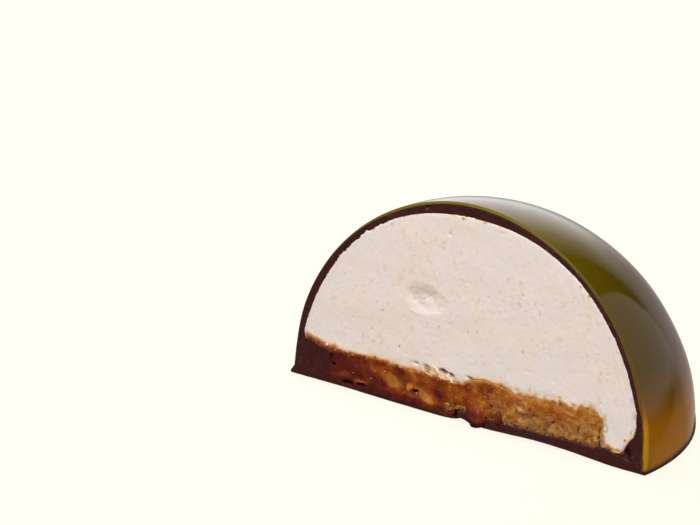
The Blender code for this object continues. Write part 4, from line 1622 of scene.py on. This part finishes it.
@dataclass(frozen=True)
class SoftBox:
    """A soft studio lamp that looks at the object from a compass angle and a height angle, in degrees."""

    name: str
    azimuth: float
    elevation: float
    distance: float
    size: float
    watts: float
    colour: str = "#ffffff"

    def build(self, lit: bpy.types.Collection) -> None:
        """Hangs the lamp.

        Args:
            lit: What the lamp lights.
        """
        light = bpy.data.lights.new(self.name, "AREA")
        light.shape = "DISK"
        light.size = self.size
        light.energy = self.watts
        light.color = linear(self.colour)[:3]
        lamp = add_object(self.name, light)
        turn = Euler((math.radians(90 - self.elevation), 0, math.radians(180 - self.azimuth)))
        lamp.matrix_world = turn.to_matrix().to_4x4() @ Matrix.Translation((0, 0, self.distance))
        lamp.light_linking.receiver_collection = lit


@dataclass(frozen=True)
class Glow:
    """A round patch of the surround that the glossy coat mirrors.

    Angles are in degrees, and azimuth runs from +Y towards +X. The patch is whole inside its full radius
    and gone outside its outer one.
    """

    azimuth: float
    elevation: float
    full: float
    outer: float
    strength: float
    tint: str = "#ffffff"
    floor_cut: bool = False
    floor_line: float = -0.13

    def over(self, tree: Tree, ray: Socket, up: Socket, light: Socket) -> Socket:
        """Lays the patch over the surround.

        Args:
            tree: The world's node tree.
            ray: Direction of the view ray.
            up: Its Z part.
            light: Light of the surround so far.

        Returns:
            The light with the patch.
        """
        turn, rise = math.radians(self.azimuth), math.radians(self.elevation)
        middle = (math.sin(turn) * math.cos(rise), math.cos(turn) * math.cos(rise), math.sin(rise))
        near = add_node(tree, "VectorMath", ray, middle, out="Value", operation="DOT_PRODUCT")
        reach = (math.cos(math.radians(self.outer)), math.cos(math.radians(self.full)))
        shares = [add_node(tree, "MapRange", near, *reach, **EASED)]
        if self.floor_cut:
            shares.append(add_node(tree, "MapRange", up, self.floor_line, 0.0, **EASED))
        colour = (*(self.strength * part for part in linear(self.tint)[:3]), 1.0)
        return lay_over(tree, light, colour, *shares)


# Patches that the coat mirrors, and the soft light from low down
GLOWS = (
    Glow(-52, 12, 30, 52, 0.9, "#fff4e6"),
    Glow(-52, 12, 16, 41, 1.78, "#f5f5ff"),
    Glow(-5, -38, 20, 50, 0.25, "#ffe4b8"),
    Glow(-30, -26, 14, 32, 0.45, "#fff0e8"),
    Glow(40, 24, 37.6, 39.2, 0.03, "#ffeec0"),
    Glow(-7, -3, 6, 18, 0.42, "#ffedec"),
    Glow(50, -5, 47.8, 49.3, 0.5, "#fffaf6", True),
)

# The lamps that light the food alone
FOOD_LAMPS = (
    SoftBox("key", 188, 46, 0.6, 0.22, 3.45, "#fffaf4"),
    SoftBox("fill", 105, 25, 0.6, 0.3, 0.7, "#fff8ee"),
    SoftBox("top", 200, 78, 0.6, 0.5, 0.3),
)


@dataclass
class Studio:
    """The pale floor, the soft lights and the camera."""

    floor_size: float = 3.0
    dim: tuple[float, float, float] = (0.125, 0.12, 0.125)
    camera_place: tuple[float, float, float] = (158.41, -211.105, 100.218)
    camera_tilt: float = 16.59
    camera_turn: float = 40.48
    focal_length: float = 105.57
    sensor_width: float = 36.0
    nearest: float = 0.01
    floor_light: float = 2.3

    def build_floor(self) -> bpy.types.Object:
        """A large flat sheet at the height that the half rests on."""
        bm = bmesh.new()
        bmesh.ops.create_grid(bm, x_segments=4, y_segments=4, size=self.floor_size / 2)
        mesh = bpy.data.meshes.new("floor")
        bm.to_mesh(mesh)
        bm.free()
        mesh.materials.append(PaleFloor("warm white paper").material())
        floor = add_object("floor", mesh)
        floor.visible_glossy = False
        floor.visible_diffuse = False
        return floor

    def build_world(self) -> None:
        """A dim surround with the soft glows over it."""
        world = bpy.data.worlds.new("soft surround")
        world.use_nodes = True
        tree = world.node_tree
        ray = add_node(tree, "TexCoord", out="Generated")
        up = add_node(tree, "SeparateXYZ", ray, out=2)
        light = add_node(tree, "CombineXYZ", *self.dim)
        for glow in GLOWS:
            light = glow.over(tree, ray, up, light)
        feed(tree, tree.nodes["Background"].inputs["Color"], light)
        bpy.context.scene.world = world

    def build_camera(self) -> None:
        """The camera, at the photograph's angle."""
        lens = bpy.data.cameras.new("camera")
        lens.lens = self.focal_length
        lens.sensor_width = self.sensor_width
        lens.clip_start = self.nearest
        camera = add_object("camera", lens)
        camera.location = Vector(self.camera_place) * MM
        camera.rotation_euler = (math.radians(90 - self.camera_tilt), 0, math.radians(self.camera_turn))
        bpy.context.scene.camera = camera

    def build(self) -> None:
        """Builds the floor, the lights, the surround and the camera."""
        floor = self.build_floor()
        paper = bpy.data.collections.new("lit by the floor lamp")
        paper.objects.link(floor)
        food = bpy.data.collections.new("lit by the food lamps")
        for item in bpy.context.scene.objects:
            if item.type == "MESH" and item is not floor:
                food.objects.link(item)
        for box in FOOD_LAMPS:
            box.build(food)
        sun = bpy.data.lights.new("floor lamp", "SUN")
        sun.energy = self.floor_light
        lamp = add_object("floor lamp", sun)
        lamp.light_linking.receiver_collection = paper
        lamp.light_linking.blocker_collection = paper
        self.build_world()
        self.build_camera()
        bpy.context.scene.view_settings.view_transform = "Standard"


def main() -> None:
    """Builds every sub-assembly in order, then the studio."""
    logging.basicConfig(level=logging.INFO, format="%(name)s: %(message)s")
    assemblies = (
        ColouredCoat(),
        ChocolateShell(),
        ChocolateBase(),
        BiscuitDisc(),
        CaramelLayer(),
        MarshmallowFilling(),
        SugarThreadsAndGlints(),
        CaramelBubbles(),
        BiscuitCrumbs(),
    )
    for assembly in assemblies:
        piece = assembly.build()
        LOG.info("%s: %d faces", piece.name, len(piece.data.polygons))
    Studio().build()


if __name__ == "__main__":
    main()
